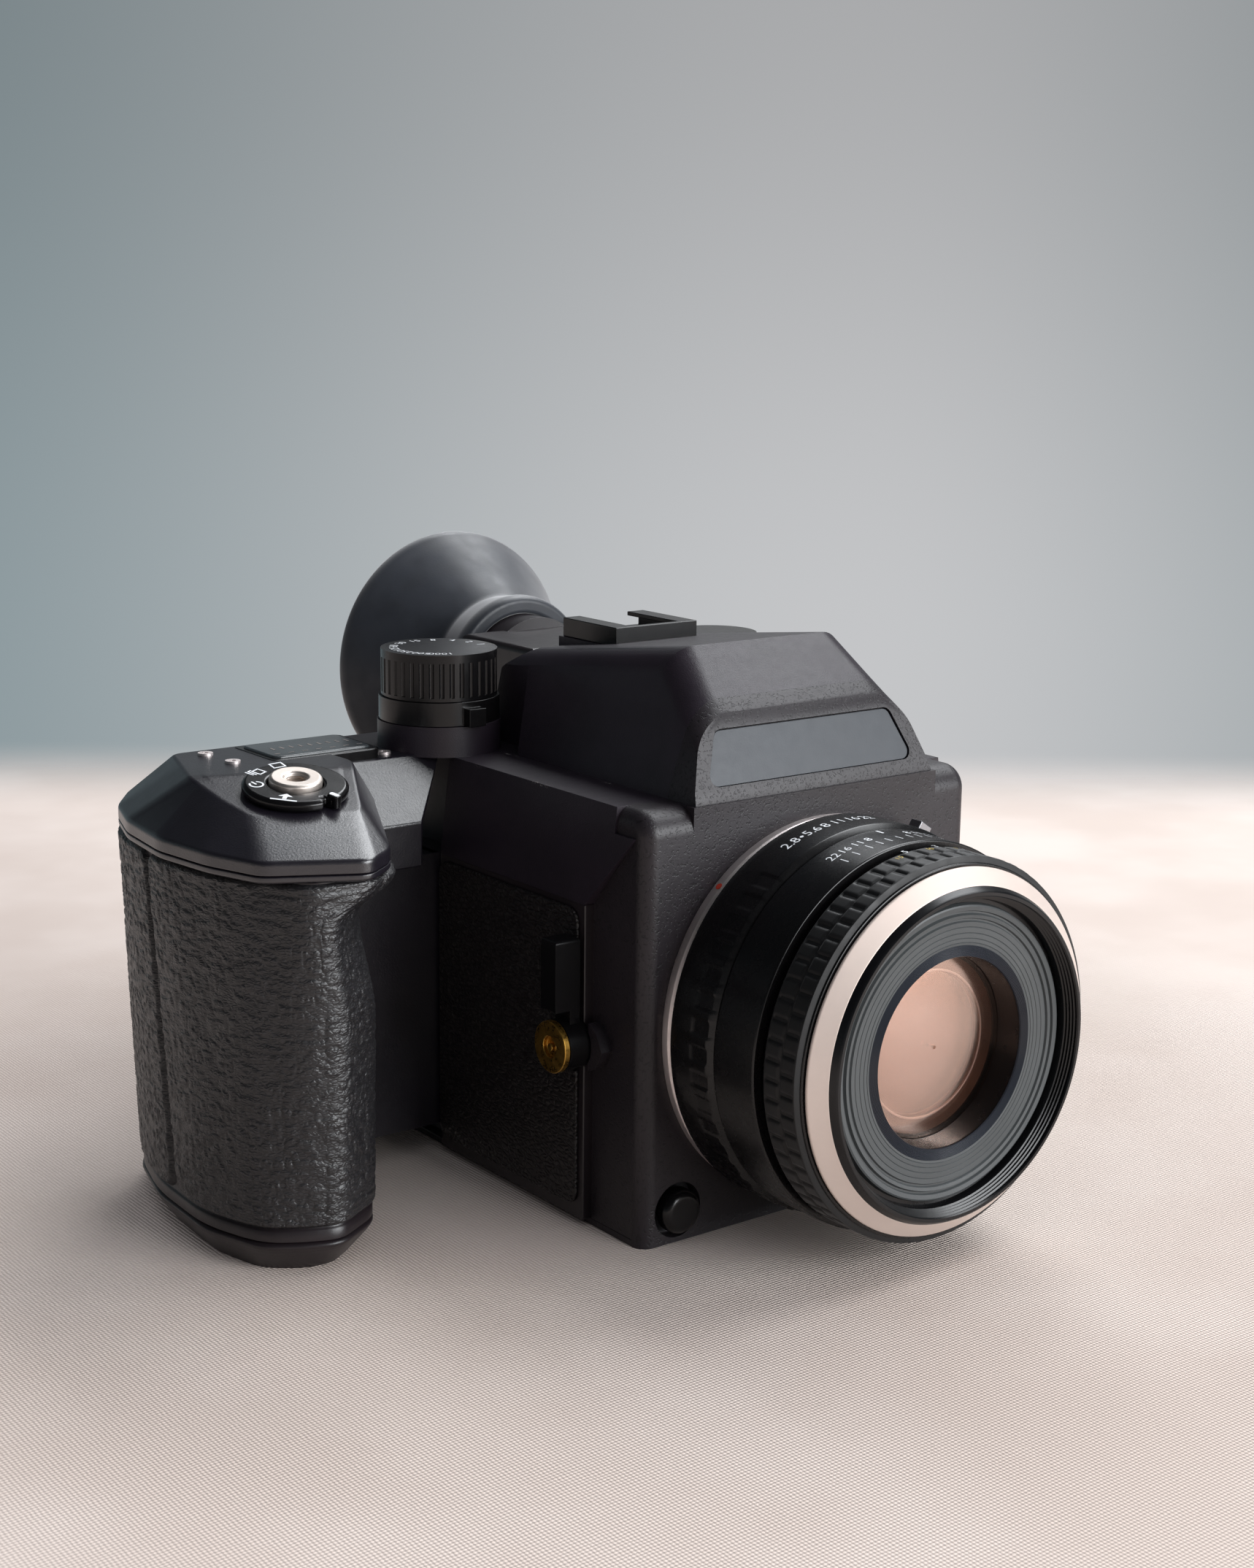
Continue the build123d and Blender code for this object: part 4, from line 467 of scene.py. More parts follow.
def marking_paint(name, tone):
    """Filled-in marks: an even paint with a slight fade and fine unevenness."""
    r = Recipe(name)
    fade = r.noise(700.0, 3.0, 0.6)
    colour = r.blend(r.between(fade, 0.35, 0.65), shade(tone, 0.8), tone)
    return r.done(Base_Color=colour, Roughness=r.between(fade, 0.3, 0.7, 0.4, 0.55))


def coated_glass(name, reflection, edge, body, clearness, rough=0.08):
    """A coated lens surface: a mirror layer over clear glass, stronger at a slant. Its tint goes from the
    paler reflection colour to the edge colour with the distance from a point a little left of the lens axis;
    the pale patch round that point is a painted highlight, the reflection of a bright window."""
    r = Recipe(name)
    r.tree.nodes.remove(r.shader)
    # painted highlight: the mirror's tint is paler round a point left of the axis, like a reflected window
    away = r.measure("DISTANCE", r.stretched((1.0, 0.0, 1.0)), (-0.006, 0.0, LENS_Z * 0.001))
    painted_glint_distance = r.math("ADD", away, r.between(r.noise(90.0, 2.0), 0.3, 0.7, -0.001, 0.001))
    mirror = r.add("ShaderNodeBsdfGlossy")
    r.feed(mirror.inputs["Color"], r.blend(r.between(painted_glint_distance, 0.004, 0.019), reflection, edge))
    smears = r.noise(160.0, 4.0, 0.6)
    r.feed(mirror.inputs["Roughness"], r.between(smears, 0.35, 0.65, rough, rough + 0.05))
    clear = r.add("ShaderNodeBsdfTransparent")
    clear.inputs["Color"].default_value = body
    facing = r.add("ShaderNodeLayerWeight")
    facing.inputs["Blend"].default_value = 0.35
    mix = r.add("ShaderNodeMixShader")
    r.feed(mix.inputs["Fac"], r.between(facing.outputs["Facing"], 0.0, 1.0, 1.0 - clearness, 1.0))
    r.feed(mix.inputs[1], clear.outputs["BSDF"])
    r.feed(mix.inputs[2], mirror.outputs["BSDF"])
    r.feed(r.tree.nodes["Material Output"].inputs["Surface"], mix.outputs["Shader"])
    return r.material


PAINT = black_paint("casing_paint", rgb(30, 25, 29), 0.42, 0.35, 2600.0, 0.1, 0.4, 0.35)
TOP_PAINT = worn_top_paint()
COVER_PLASTIC = black_paint("cover_plastic", rgb(26, 20, 23), 0.36, 0.25, 2600.0, shine=0.5)
CAP_PLASTIC = black_paint("cap_plastic", rgb(20, 17, 24), 0.31, 0.6, 2400.0, shine=0.95)
CONTROL_PLASTIC = black_paint("control_plastic", rgb(10, 9, 10), 0.24, 0.12, 2600.0)
LENS_PAINT = black_paint("lens_paint", rgb(10, 9, 10), 0.27, 0.08, 3000.0, 0.04)
BAFFLE_PAINT = black_paint("baffle_paint", rgb(66, 69, 70), 0.4, 0.1, 3000.0, 0.06)
RIM_PAINT = black_paint("rim_paint", rgb(8, 8, 10), 0.26, 0.08, 3000.0)
CONE_PAINT = black_paint("cone_paint", rgb(38, 41, 48), 0.34, 0.08, 3000.0, 0.06)
CELL_PAINT = black_paint("cell_paint", rgb(124, 98, 84), 0.5, 0.05, 900.0, 0.3)
CAST_METAL = black_paint("cast_metal", rgb(52, 52, 55), 0.55, 0.6, 900.0)
PLATE_PAINT = black_paint("plate_paint", rgb(36, 41, 48), 0.4, 0.15, 3000.0, 0.05)
DISPLAY_GLASS = black_paint("display_glass", rgb(52, 56, 58), 0.2, 0.03, 2600.0, 0.3, 0.45)
GRIP_SKIN = grained_skin("grip_skin", rgb(21, 20, 22), 900.0, 0.00008, 0.42, 0.6)
SIDE_SKIN = grained_skin("side_skin", rgb(17, 13, 13), 560.0, 0.0003, 0.4, 0.45)
FOCUS_RUBBER = soft_rubber("focus_rubber", rgb(13, 13, 14), 0.5, 0.1)
CUP_RUBBER = soft_rubber("cup_rubber", rgb(30, 33, 39), 0.42, 0.7)
SILVER = metal("trim_silver", rgb(212, 197, 188), 0.55, (0.05, 1.0, 1.0), 0.03, 0.02, 0.6)
MOUNT_METAL = metal("mount_metal", rgb(238, 228, 226), 0.5)
WARM_STEEL = metal("button_steel", rgb(222, 212, 204), 0.46, grain=0.03, dull=0.03)
CHROME = metal("satin_chrome", rgb(205, 205, 208), 0.18)
STEEL = metal("plain_steel", rgb(150, 150, 153), 0.34, (0.1, 1.0, 1.0))
BRASS = metal("worn_brass", rgb(214, 166, 80), 0.34, grain=0.1, dull=0.3)
WHITE_MARK = marking_paint("white_marks", rgb(232, 234, 236))
YELLOW_MARK = marking_paint("yellow_marks", rgb(205, 175, 60))
RED_MARK = marking_paint("red_marks", rgb(168, 52, 34))
GREY_MARK = marking_paint("grey_marks", rgb(120, 112, 108))
FRONT_GLASS = coated_glass("front_glass", rgb(255, 236, 228), rgb(232, 210, 198), rgb(248, 238, 232), 0.8,
                           0.12)
WARM_GLASS = coated_glass("warm_glass", rgb(244, 236, 232), rgb(214, 190, 176), rgb(200, 160, 140), 0.42,
                          0.14)
DEEP_GLASS = coated_glass("deep_glass", rgb(240, 236, 255), rgb(210, 170, 150), rgb(180, 140, 120), 0.35,
                          0.1)
CLEAR_GLASS = coated_glass("clear_glass", rgb(235, 240, 245), rgb(225, 232, 238), rgb(215, 222, 225), 0.9)


# Shapes

def grid_faces(rows, cols, wrap_rows, wrap_cols):
    """Quads between neighbouring points of a grid, joined round where asked."""
    r = np.arange(rows if wrap_rows else rows - 1)
    c = np.arange(cols if wrap_cols else cols - 1)
    r, c = np.meshgrid(r, c, indexing="ij")
    r_next = (r + 1) % rows
    c_next = (c + 1) % cols
    quads = np.stack([r * cols + c, r * cols + c_next, r_next * cols + c_next, r_next * cols + c], -1)
    return quads.reshape(-1, 4).tolist()


def shade_smooth(work, limit):
    """Shades all faces smooth in the first material and marks the edges that bend by more than the limit."""
    for edge in work.edges:
        edge.smooth = not (len(edge.link_faces) == 2 and edge.calc_face_angle(0.0) > limit)
    for face in work.faces:
        face.smooth = True
        face.material_index = 0


def tidy_mesh(mesh, sharp_deg):
    """Merges doubles, turns the faces outwards, shades smooth and marks edges sharper than the angle."""
    work = bmesh.new()
    work.from_mesh(mesh)
    bmesh.ops.remove_doubles(work, verts=work.verts, dist=1e-7)
    bmesh.ops.recalc_face_normals(work, faces=work.faces)
    shade_smooth(work, math.radians(sharp_deg))
    work.to_mesh(mesh)
    work.free()


def linked(name, data):
    """A new object in the scene."""
    thing = bpy.data.objects.new(name, data)
    bpy.context.scene.collection.objects.link(thing)
    return thing


def bevelled(piece, width, segments, bend_deg):
    """Rounds the edges of a piece that bend by more than an angle, width mm to each side."""
    bevel = piece.modifiers.new("soft_edges", "BEVEL")
    bevel.width = width * 0.001
    bevel.segments = segments
    bevel.limit_method = "ANGLE"
    bevel.angle_limit = math.radians(bend_deg)
    bevel.harden_normals = True


def new_piece(name, points, faces, material, body, sharp_deg=40.0, bend=None):
    """A mesh object from drawing-frame points, riding on a body; bend moves the points first."""
    mesh = bpy.data.meshes.new(name)
    moved = points if bend is None else bend(points)
    mesh.from_pydata(place(moved).tolist(), [], faces)
    tidy_mesh(mesh, sharp_deg)
    mesh.materials.append(material)
    piece = linked(name, mesh)
    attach(piece, body)
    return piece


def surface(name, grid, material, body, wrap_rows=False, wrap_cols=False, caps=False, sharp_deg=40.0,
            bend=None):
    """A grid of points (rows, cols, 3) as a mesh; caps close its first and last row."""
    rows, cols = grid.shape[:2]
    faces = grid_faces(rows, cols, wrap_rows, wrap_cols)
    if caps:
        faces.append(list(range(cols)))
        faces.append(list(range((rows - 1) * cols, rows * cols)))
    return new_piece(name, grid.reshape(-1, 3), faces, material, body, sharp_deg, bend)


def rounded(points, cut, steps=4):
    """A closed outline whose corners are curves: b(t) = (1-t)^2 a + 2t(1-t) p + t^2 c, where a and c lie on
    the corner's two sides, cut away from the corner p but at most 0.45 of the side."""
    p = np.asarray(points, float)
    before = np.roll(p, 1, axis=0) - p
    after = np.roll(p, -1, axis=0) - p
    long_before = np.linalg.norm(before, axis=1, keepdims=True)
    long_after = np.linalg.norm(after, axis=1, keepdims=True)
    reach = np.broadcast_to(np.asarray(cut, float).reshape(-1, 1), long_before.shape)
    a = p + before / long_before * np.minimum(reach, 0.45 * long_before)
    c = p + after / long_after * np.minimum(reach, 0.45 * long_after)
    t = np.linspace(0, 1, steps + 1)[None, :, None]
    curve = (1 - t) ** 2 * a[:, None] + 2 * t * (1 - t) * p[:, None] + t ** 2 * c[:, None]
    return curve.reshape(-1, p.shape[1])


def held(profile, gap=0.07, least=0.5):
    """A closed profile with two more points near the ends of each long side, p + gap (q - p) / |q - p|,
    which keep the shading of that side flat."""
    p = np.asarray(profile, float)
    after = np.roll(p, -1, axis=0) - p
    length = np.linalg.norm(after, axis=1)
    share = (gap / np.maximum(length, least))[:, None]
    triples = np.stack([p, p + after * share, p + after * (1 - share)], 1)
    wide = length > least
    return triples[np.stack([np.full(len(p), True), wide, wide], 1)]


def held_rows(stack, gap=0.08, least=0.7):
    """A stack of rings with two more rings near the ends of each wide band, as held() does for a profile."""
    step = stack[1:] - stack[:-1]
    length = np.linalg.norm(step, axis=-1).mean(axis=1)
    share = (gap / np.maximum(length, least))[:, None, None]
    triples = np.stack([stack[:-1], stack[:-1] + step * share, stack[1:] - step * share], 1)
    wide = length > least
    return np.concatenate([triples[np.stack([np.full(len(step), True), wide, wide], 1)], stack[-1:]])


def turned(name, profile, material, body, centre=(0.0, LENS_Z), axis="Y", segments=160, sharp_deg=35.0,
           bend=None):
    """A closed profile of (radius, height) points turned round an axis: p = centre + radius (cos a, sin a),
    with height along the axis."""
    p = held(profile)
    a = np.linspace(0, 2 * np.pi, segments, endpoint=False)
    radius = p[:, 0][:, None]
    across = radius * np.cos(a)
    upward = radius * np.sin(a)
    height = np.broadcast_to(p[:, 1][:, None], across.shape)
    if axis == "Y":
        grid = np.stack([centre[0] + across, height, centre[1] + upward], -1)
    else:
        grid = np.stack([centre[0] + across, centre[1] + upward, height], -1)
    return surface(name, grid, material, body, wrap_rows=True, wrap_cols=True, sharp_deg=sharp_deg,
                   bend=bend)


def on_deck(points):
    """Turns upright points at the drive dial's foot square to the slanted deck: p = foot + x X + y Y + z N,
    with N the deck's normal (-lean, -rise, 1), X along (1, 0, lean) and Y across both."""
    foot = np.array([DRIVE_X, DRIVE_Y, DECK_Z])
    normal = np.array([-DECK_LEAN, -DECK_RISE, 1.0])
    normal /= np.linalg.norm(normal)
    along = np.array([1.0, 0.0, DECK_LEAN])
    along /= np.linalg.norm(along)
    axes = np.stack([along, np.cross(normal, along), normal])
    return foot + (np.asarray(points, float).reshape(-1, 3) - foot) @ axes


def softened(node, material, body, width):
    """A CAD node's own shape with its flat faces joined and its edges bevelled by width."""
    mesh = NODES[node].data.copy()
    mesh.name = node + "_shell"
    mesh.materials.clear()
    mesh.materials.append(material)
    work = bmesh.new()
    work.from_mesh(mesh)
    bmesh.ops.remove_doubles(work, verts=work.verts, dist=2e-6)
    bmesh.ops.dissolve_limit(work, angle_limit=math.radians(1.0), verts=work.verts, edges=work.edges)
    shade_smooth(work, math.radians(CAD_EDGE))
    work.to_mesh(mesh)
    work.free()
    piece = linked(node + "_shell", mesh)
    bevelled(piece, width, 2, CAD_EDGE)
    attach(piece, body)
    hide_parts(node)
    return piece


def paint_node(material, *nodes):
    """A CAD node keeps its shape and gets a finished material."""
    for node in nodes:
        mesh = NODES[node].data
        mesh.materials.clear()
        mesh.materials.append(material)


def smooth_noise(shape, cells, seed):
    """Even random noise from -1 to 1: a coarse random grid read between its points with a smooth step."""
    rng = np.random.RandomState(seed)
    coarse = rng.uniform(-1, 1, (cells[0] + 2, cells[1] + 2))
    u = np.linspace(0, cells[0], shape[0])
    v = np.linspace(0, cells[1], shape[1])
    iu = u.astype(int)
    iv = v.astype(int)
    fu = (u - iu)[:, None]
    fv = (v - iv)[None, :]
    fu = fu * fu * (3 - 2 * fu)
    fv = fv * fv * (3 - 2 * fv)
    a = coarse[np.ix_(iu, iv)]
    b = coarse[np.ix_(iu + 1, iv)]
    c = coarse[np.ix_(iu, iv + 1)]
    d = coarse[np.ix_(iu + 1, iv + 1)]
    return (a * (1 - fu) + b * fu) * (1 - fv) + (c * (1 - fu) + d * fu) * fv


def text_outline(text, height):
    """A short text as flat points (u, v) in millimetres, centred, with its faces."""
    curve = bpy.data.curves.new("sign", "FONT")
    curve.body = text
    curve.size = height / 0.7
    curve.align_x = "CENTER"
    curve.align_y = "CENTER"
    curve.resolution_u = 3
    holder = linked("sign", curve)
    bpy.context.view_layer.update()
    mesh = bpy.data.meshes.new_from_object(holder.evaluated_get(bpy.context.evaluated_depsgraph_get()))
    flat = np.zeros(len(mesh.vertices) * 3)
    mesh.vertices.foreach_get("co", flat)
    faces = [list(face.vertices) for face in mesh.polygons]
    bpy.data.objects.remove(holder)
    bpy.data.curves.remove(curve)
    bpy.data.meshes.remove(mesh)
    return flat.reshape(-1, 3)[:, :2], faces


def bar(width, height, at=(0.0, 0.0)):
    """A flat bar as points (u, v) with one face."""
    u = np.array([-0.5, 0.5, 0.5, -0.5]) * width + at[0]
    v = np.array([-0.5, -0.5, 0.5, 0.5]) * height + at[1]
    return np.stack([u, v], -1), [[0, 1, 2, 3]]


def dot(radius, at=(0.0, 0.0), count=16):
    """A flat round dot."""
    a = np.linspace(0, 2 * np.pi, count, endpoint=False)
    return np.stack([at[0] + radius * np.cos(a), at[1] + radius * np.sin(a)], -1), [list(range(count))]


def joined(parts):
    """Several flat figures as one."""
    points = []
    faces = []
    start = 0
    for flat, figure_faces in parts:
        points.append(flat)
        faces += [[i + start for i in face] for face in figure_faces]
        start += len(flat)
    return np.concatenate(points), faces


def flat_marks(name, figures, to_space, material, body):
    """Flat figures laid on a surface: to_space turns a figure's (u, v) and place into drawing-frame
    points."""
    points, faces = joined([(to_space(flat, spot), figure_faces) for (flat, figure_faces), spot in figures])
    mesh = bpy.data.meshes.new(name)
    mesh.from_pydata(place(points).tolist(), [], faces)
    mesh.materials.append(material)
    mesh.update()
    piece = linked(name, mesh)
    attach(piece, body)
    return piece


def on_lens(flat, degrees, radius, y, lift=MARK_LIFT):
    """Wraps a figure round the lens: angle = place - u / radius from straight up towards -X, with v along
    the axis towards the body."""
    angle = np.radians(degrees) - flat[:, 0] / radius
    r = radius + lift
    return np.stack([-r * np.sin(angle), y + flat[:, 1], LENS_Z + r * np.cos(angle)], -1)


def smoothstep(x, low, high):
    """0 below low, 1 above high, and a smooth S between."""
    t = np.clip((x - low) / (high - low), 0, 1)
    return t * t * (3 - 2 * t)


# Lens

def notched(y, segments=720):
    """Radius of the aperture ring's outside at (y, angle): R - depth * cut(angle) * middle(y), where cut is
    a rounded square wave of the angle from straight up towards -X, off in the plain, numbered part."""
    low, high = APERTURE_PLAIN
    angle = np.linspace(0, 360, segments, endpoint=False)
    wave = np.cos(np.radians(angle * NOTCH_COUNT))
    signed = (angle + 180) % 360 - 180
    plain = smoothstep(signed, low - 1.5, low + 1.5) * (1 - smoothstep(signed, high - 1.5, high + 1.5))
    cut = smoothstep(wave, -0.6, -0.15) * (1 - plain)
    front, rear = NOTCH_SPAN
    middle = smoothstep(y, front - 0.25, front + 0.25) * (1 - smoothstep(y, rear - 0.9, rear + 0.3))
    return APERTURE_RADIUS - NOTCH_DEPTH * middle[:, None] * cut[None, :], np.radians(angle)


def ring_grid(radius, y, angle):
    """Points round the lens axis from radius (rows, cols), y (rows) and the angle from straight up towards
    -X: p = (-r sin a, y, axis + r cos a)."""
    across = -radius * np.sin(angle)
    upward = radius * np.cos(angle)
    along = np.broadcast_to(np.asarray(y, float)[:, None], radius.shape)
    return np.stack([across, along, LENS_Z + upward], -1)


def closed_ring(name, outer, y, angle, bore, material, body):
    """A ring with a shaped outside and a plain bore: the outside rows, then two bore rows back to the
    start."""
    inner = np.full((2, outer.shape[1]), bore)
    radius = np.concatenate([outer, inner])
    rows = np.concatenate([y, [y[-1], y[0]]])
    piece = surface(name, ring_grid(radius, rows, angle), material, body, wrap_rows=True, wrap_cols=True)
    return piece


def aperture_ring():
    """The aperture ring: a bevelled front edge that shows as dashes, broad lands between narrow grooves but
    for the numbered part, which is plain. Each row is a y with how far it lies under the full radius."""
    rows = np.array(APERTURE_ROWS)
    outer, angle = notched(rows[:, 0])
    outer = np.minimum(outer, APERTURE_RADIUS - rows[:, 1][:, None])
    piece = closed_ring("aperture_ring_body", outer, rows[:, 0], angle, APERTURE_BORE, LENS_PAINT,
                        "aperture_ring")
    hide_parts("aperture_ring")


def mount_face():
    """The bright mount ring with a chamfered front edge, which shows as a thin arc behind the lens."""
    outer = rounded([(MOUNT_RADIUS, 0.0), (MOUNT_RADIUS, MOUNT_FACE + 0.9), (MOUNT_RADIUS - 0.9, MOUNT_FACE),
                     (29.2, MOUNT_FACE), (29.2, 0.0)], 0.12, 2)
    piece = turned("mount_ring_face", outer, MOUNT_METAL, "camera", segments=200)
    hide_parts("mount_ring")


def lens_barrel():
    """The fixed barrel: plain, with a fine light front edge and rounded rims."""
    outer = rounded([(BARREL_RADIUS, BARREL_REAR), (BARREL_RADIUS, BARREL_FRONT),
                     (SLEEVE_RADIUS, BARREL_FRONT), (SLEEVE_RADIUS, -34.0), (30.0, -34.0), (30.0, -4.6),
                     (SLEEVE_RADIUS, -4.6), (SLEEVE_RADIUS, BARREL_REAR)], 0.35, 3)
    piece = turned("lens_barrel_body", outer, LENS_PAINT, "lens", segments=200)
    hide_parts("lens_barrel")


def focus_ring():
    """The focus ring: a rounded rear rim with its numbers and a short wall in front of the rubber."""
    outer = rounded([(FOCUS_RADIUS, FOCUS_REAR), (FOCUS_RADIUS, FOCUS_FRONT), (33.05, FOCUS_FRONT),
                     (33.05, FOCUS_REAR)], 0.3, 3)
    piece = turned("focus_ring_body", outer, LENS_PAINT, "focus_ring", segments=200)
    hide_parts("focus_ring")


def focus_rubber():
    """The rubber band: short blocks in two rows, the front row half a rib on from the rear one.
    The radius is R - depth * gap, where gap joins the grooves between blocks and the groove between rows."""
    inner_rows = np.linspace(RUBBER_REAR - 0.35, RUBBER_FRONT + 0.35, 34)
    y = np.concatenate([[RUBBER_REAR], inner_rows, [RUBBER_FRONT]])
    angle = np.linspace(0, 2 * np.pi, RIB_COUNT * 12, endpoint=False)
    middle = 0.5 * (RUBBER_REAR + RUBBER_FRONT)
    row = (y < middle).astype(float)
    turn = angle[None, :] * RIB_COUNT + np.pi * row[:, None]
    along = smoothstep(-np.cos(turn), 0.35, 0.8)
    across = 1 - smoothstep(np.abs(y - middle), 0.15, 0.5)
    ends = 1 - smoothstep(np.minimum(RUBBER_REAR - y, y - RUBBER_FRONT), 0.5, 0.9)
    gap = np.maximum(along * (1 - ends[:, None]), across[:, None])
    outer = RUBBER_RADIUS - RIB_DEPTH * gap
    outer[0] = outer[-1] = FOCUS_RADIUS + 0.1
    outer[1] = outer[-2] = RUBBER_RADIUS - 0.12
    piece = closed_ring("focus_rubber_band", outer, y, angle, FOCUS_RADIUS - 0.2, FOCUS_RUBBER, "focus_ring")
    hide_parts("focus_grip")


def trim_ring():
    """The silver cone ring with a rolled rear edge."""
    outer = rounded([(TRIM_SMALL - 0.1, TRIM_FRONT), (TRIM_BIG, TRIM_EDGE), (TRIM_BIG, TRIM_REAR),
                     (TRIM_SMALL - 0.1, TRIM_REAR)], 0.22, 4)
    piece = turned("silver_trim_ring", outer, SILVER, "front_barrel", segments=240)
    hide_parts("front_trim_ring")


def thread_points(rim):
    """The rim's front edge and the filter thread, whose ridges lean inwards."""
    points = [(rim, RIM_FRONT + 1.3), (rim - 0.6, RIM_FRONT + 0.25), (rim - 0.9, RIM_FRONT),
              (THREAD_OUT + 0.1, RIM_FRONT)]
    start = RIM_FRONT + 0.3
    for i in range(THREAD_COUNT):
        share = i / THREAD_COUNT
        radius = THREAD_OUT + (THREAD_IN - THREAD_OUT) * share
        y = start + (THREAD_REAR - start) * share
        points += [(radius - 0.1, y), (radius + 0.24, y + 0.32)]
    return points


def baffle_points(face):
    """The grooved baffle: a sunk step, broad and narrow grooves, then fine ridges down to the cone."""
    points = [(THREAD_IN - 0.1, THREAD_REAR), (THREAD_IN - 0.4, face + 0.9), (BAFFLE_OUT, face + 0.9),
              (BAFFLE_OUT - 0.3, face - 0.05), (BAFFLE_OUT - 0.6, face - 0.2)]
    points += [(radius, face + y) for radius, y in BAFFLE_STEPS]
    for groove in BAFFLE_GROOVES:
        points += [(groove + 0.1, face + 0.1), (groove, face + 0.2), (groove - 0.1, face + 0.1)]
    for ridge in np.linspace(RIDGES_OUT, CONE_OUT + 0.3, RIDGE_COUNT):
        points += [(ridge, face + 0.16), (ridge - 0.14, face + 0.02)]
    return points


def cone_points(face):
    """The cone down to the front glass, as a flight of small steps."""
    points = []
    start = face + 0.3
    for i in range(CONE_STEPS):
        share = i / CONE_STEPS
        radius = CONE_OUT + (CONE_IN - CONE_OUT) * share
        y = start + (CONE_REAR - start) * share
        points += [(radius, y), (radius - 0.05, y + 0.42)]
    return points


def front_barrel():
    """The rim with its filter thread, the grooved baffle, the stepped cone down to the glass and the tube
    behind it, as one profile. The rim and the cone are black, the fine ridges grey, the baffle paler. The
    sunk step at the foot of the thread is black too, as painted shade under the rim."""
    rim = TRIM_SMALL - 0.1
    tail = [(CONE_IN, CONE_REAR + 0.3), (CONE_IN, CONE_REAR + 0.9), (17.2, CONE_REAR + 0.9), (17.2, -28.0),
            (27.0, -28.0), (27.0, -10.0), (29.95, -10.0), (29.95, TRIM_REAR + 0.05), (rim, TRIM_REAR)]
    profile = np.array(thread_points(rim) + baffle_points(BAFFLE_FACE) + cone_points(BAFFLE_FACE) + tail)
    piece = turned("front_rim_and_baffle", profile, BAFFLE_PAINT, "front_barrel", segments=240, sharp_deg=30)
    mesh = piece.data
    mesh.materials.append(RIM_PAINT)
    mesh.materials.append(CONE_PAINT)
    centres = np.zeros(len(mesh.polygons) * 3)
    mesh.polygons.foreach_get("center", centres)
    centres = centres.reshape(-1, 3)
    radius = np.hypot(centres[:, 0], centres[:, 2] - LENS_Z * 0.001) * 1000
    # black beyond the baffle's outer step: the rim's own paint, and painted shade on the sunk step at the
    # thread's foot
    dark = (radius > BAFFLE_OUT - 0.05) | (radius < CONE_OUT + 0.05)
    kind = np.where(dark, 1, np.where(radius < RIDGES_OUT, 2, 0))
    mesh.polygons.foreach_set("material_index", kind)
    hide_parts("front_barrel")


def dome(name, radius, y_rim, bulge, material, body, rings=24, segments=96):
    """A thin glass shell: y = y_rim - bulge (1 - (r / radius)^2), with a second wall behind it."""
    share = np.linspace(0.02, 1, rings)
    front = np.stack([radius * share, y_rim - bulge * (1 - share ** 2)], -1)
    back = np.stack([radius * share[::-1], y_rim + 0.6 - bulge * (1 - share[::-1] ** 2)], -1)
    return turned(name, np.concatenate([front, back]), material, body, segments=segments, sharp_deg=50)


def optics():
    """The coated front glass, a second element in a cell and a hollow one behind, which give the layered
    reflections, and the bright ring round the cell's edge."""
    front = dome("front_glass", GLASS_RADIUS, GLASS_RIM, GLASS_BULGE, FRONT_GLASS, "front_barrel")
    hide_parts("front_element")
    second = dome("second_glass", *SECOND_GLASS, WARM_GLASS, "front_barrel")
    inner = dome("inner_glass", *INNER_GLASS, DEEP_GLASS, "front_barrel")
    cell = rounded(CELL_OUTLINE, 0.2, 2)
    turned("glass_cell", cell, CELL_PAINT, "front_barrel", segments=128)
    edge = rounded(EDGE_RING, 0.1, 2)
    turned("glass_edge_ring", edge, MOUNT_METAL, "front_barrel", segments=128)


def numbers(pairs, height):
    """Texts of one height, each with its place."""
    return [(text_outline(word, height), spot) for word, spot in pairs]


def lens_marks():
    """Plain numbers on the aperture ring, a depth scale on the barrel, distances on the focus ring and the
    red dot on the mount ring."""
    stops = numbers(STOP_NUMBERS, STOP_HEIGHT)
    stops.append((dot(0.4), STOP_DOT))
    ring = flat_marks("aperture_numbers", stops, partial(on_lens, radius=APERTURE_RADIUS, y=-8.3),
                      WHITE_MARK, "aperture_ring")
    depth = numbers(DEPTH_NUMBERS, DEPTH_HEIGHT)
    for angle in DEPTH_LINES:
        depth.append((bar(0.22, 2.2, (0.0, -3.0)), angle))
    depth.append((bar(0.5, 2.0, (0.0, 2.2)), 0.0))
    scale = flat_marks("depth_numbers", depth, partial(on_lens, radius=BARREL_RADIUS, y=-19.2), WHITE_MARK,
                       "lens")
    near = flat_marks("distance_numbers", numbers(METRE_NUMBERS, METRE_HEIGHT),
                      partial(on_lens, radius=RUBBER_RADIUS, y=-27.9, lift=0.05), WHITE_MARK, "focus_ring")
    far = flat_marks("far_numbers", numbers(FOOT_NUMBERS, FOOT_HEIGHT),
                     partial(on_lens, radius=RUBBER_RADIUS, y=-29.4, lift=0.05), YELLOW_MARK, "focus_ring")
    red = flat_marks("mount_dot", [(dot(0.7), MOUNT_DOT)], partial(on_lens, radius=MOUNT_RADIUS, y=-1.3),
                     RED_MARK, "camera")


# Grip

def even_index(outline, count):
    """Fractional indices that are evenly spaced along a closed outline, and the outline's length."""
    step = np.linalg.norm(np.roll(outline, -1, axis=0) - outline, axis=1)
    along = np.concatenate([[0.0], np.cumsum(step)])
    want = np.linspace(0, along[-1], count, endpoint=False)
    return np.interp(want, along, np.arange(len(outline) + 1)), along[-1]


def read_at(outline, index):
    """An outline's points at fractional indices."""
    low = np.floor(index).astype(int) % len(outline)
    part = (index - np.floor(index))[:, None]
    return outline[low] * (1 - part) + outline[(low + 1) % len(outline)] * part


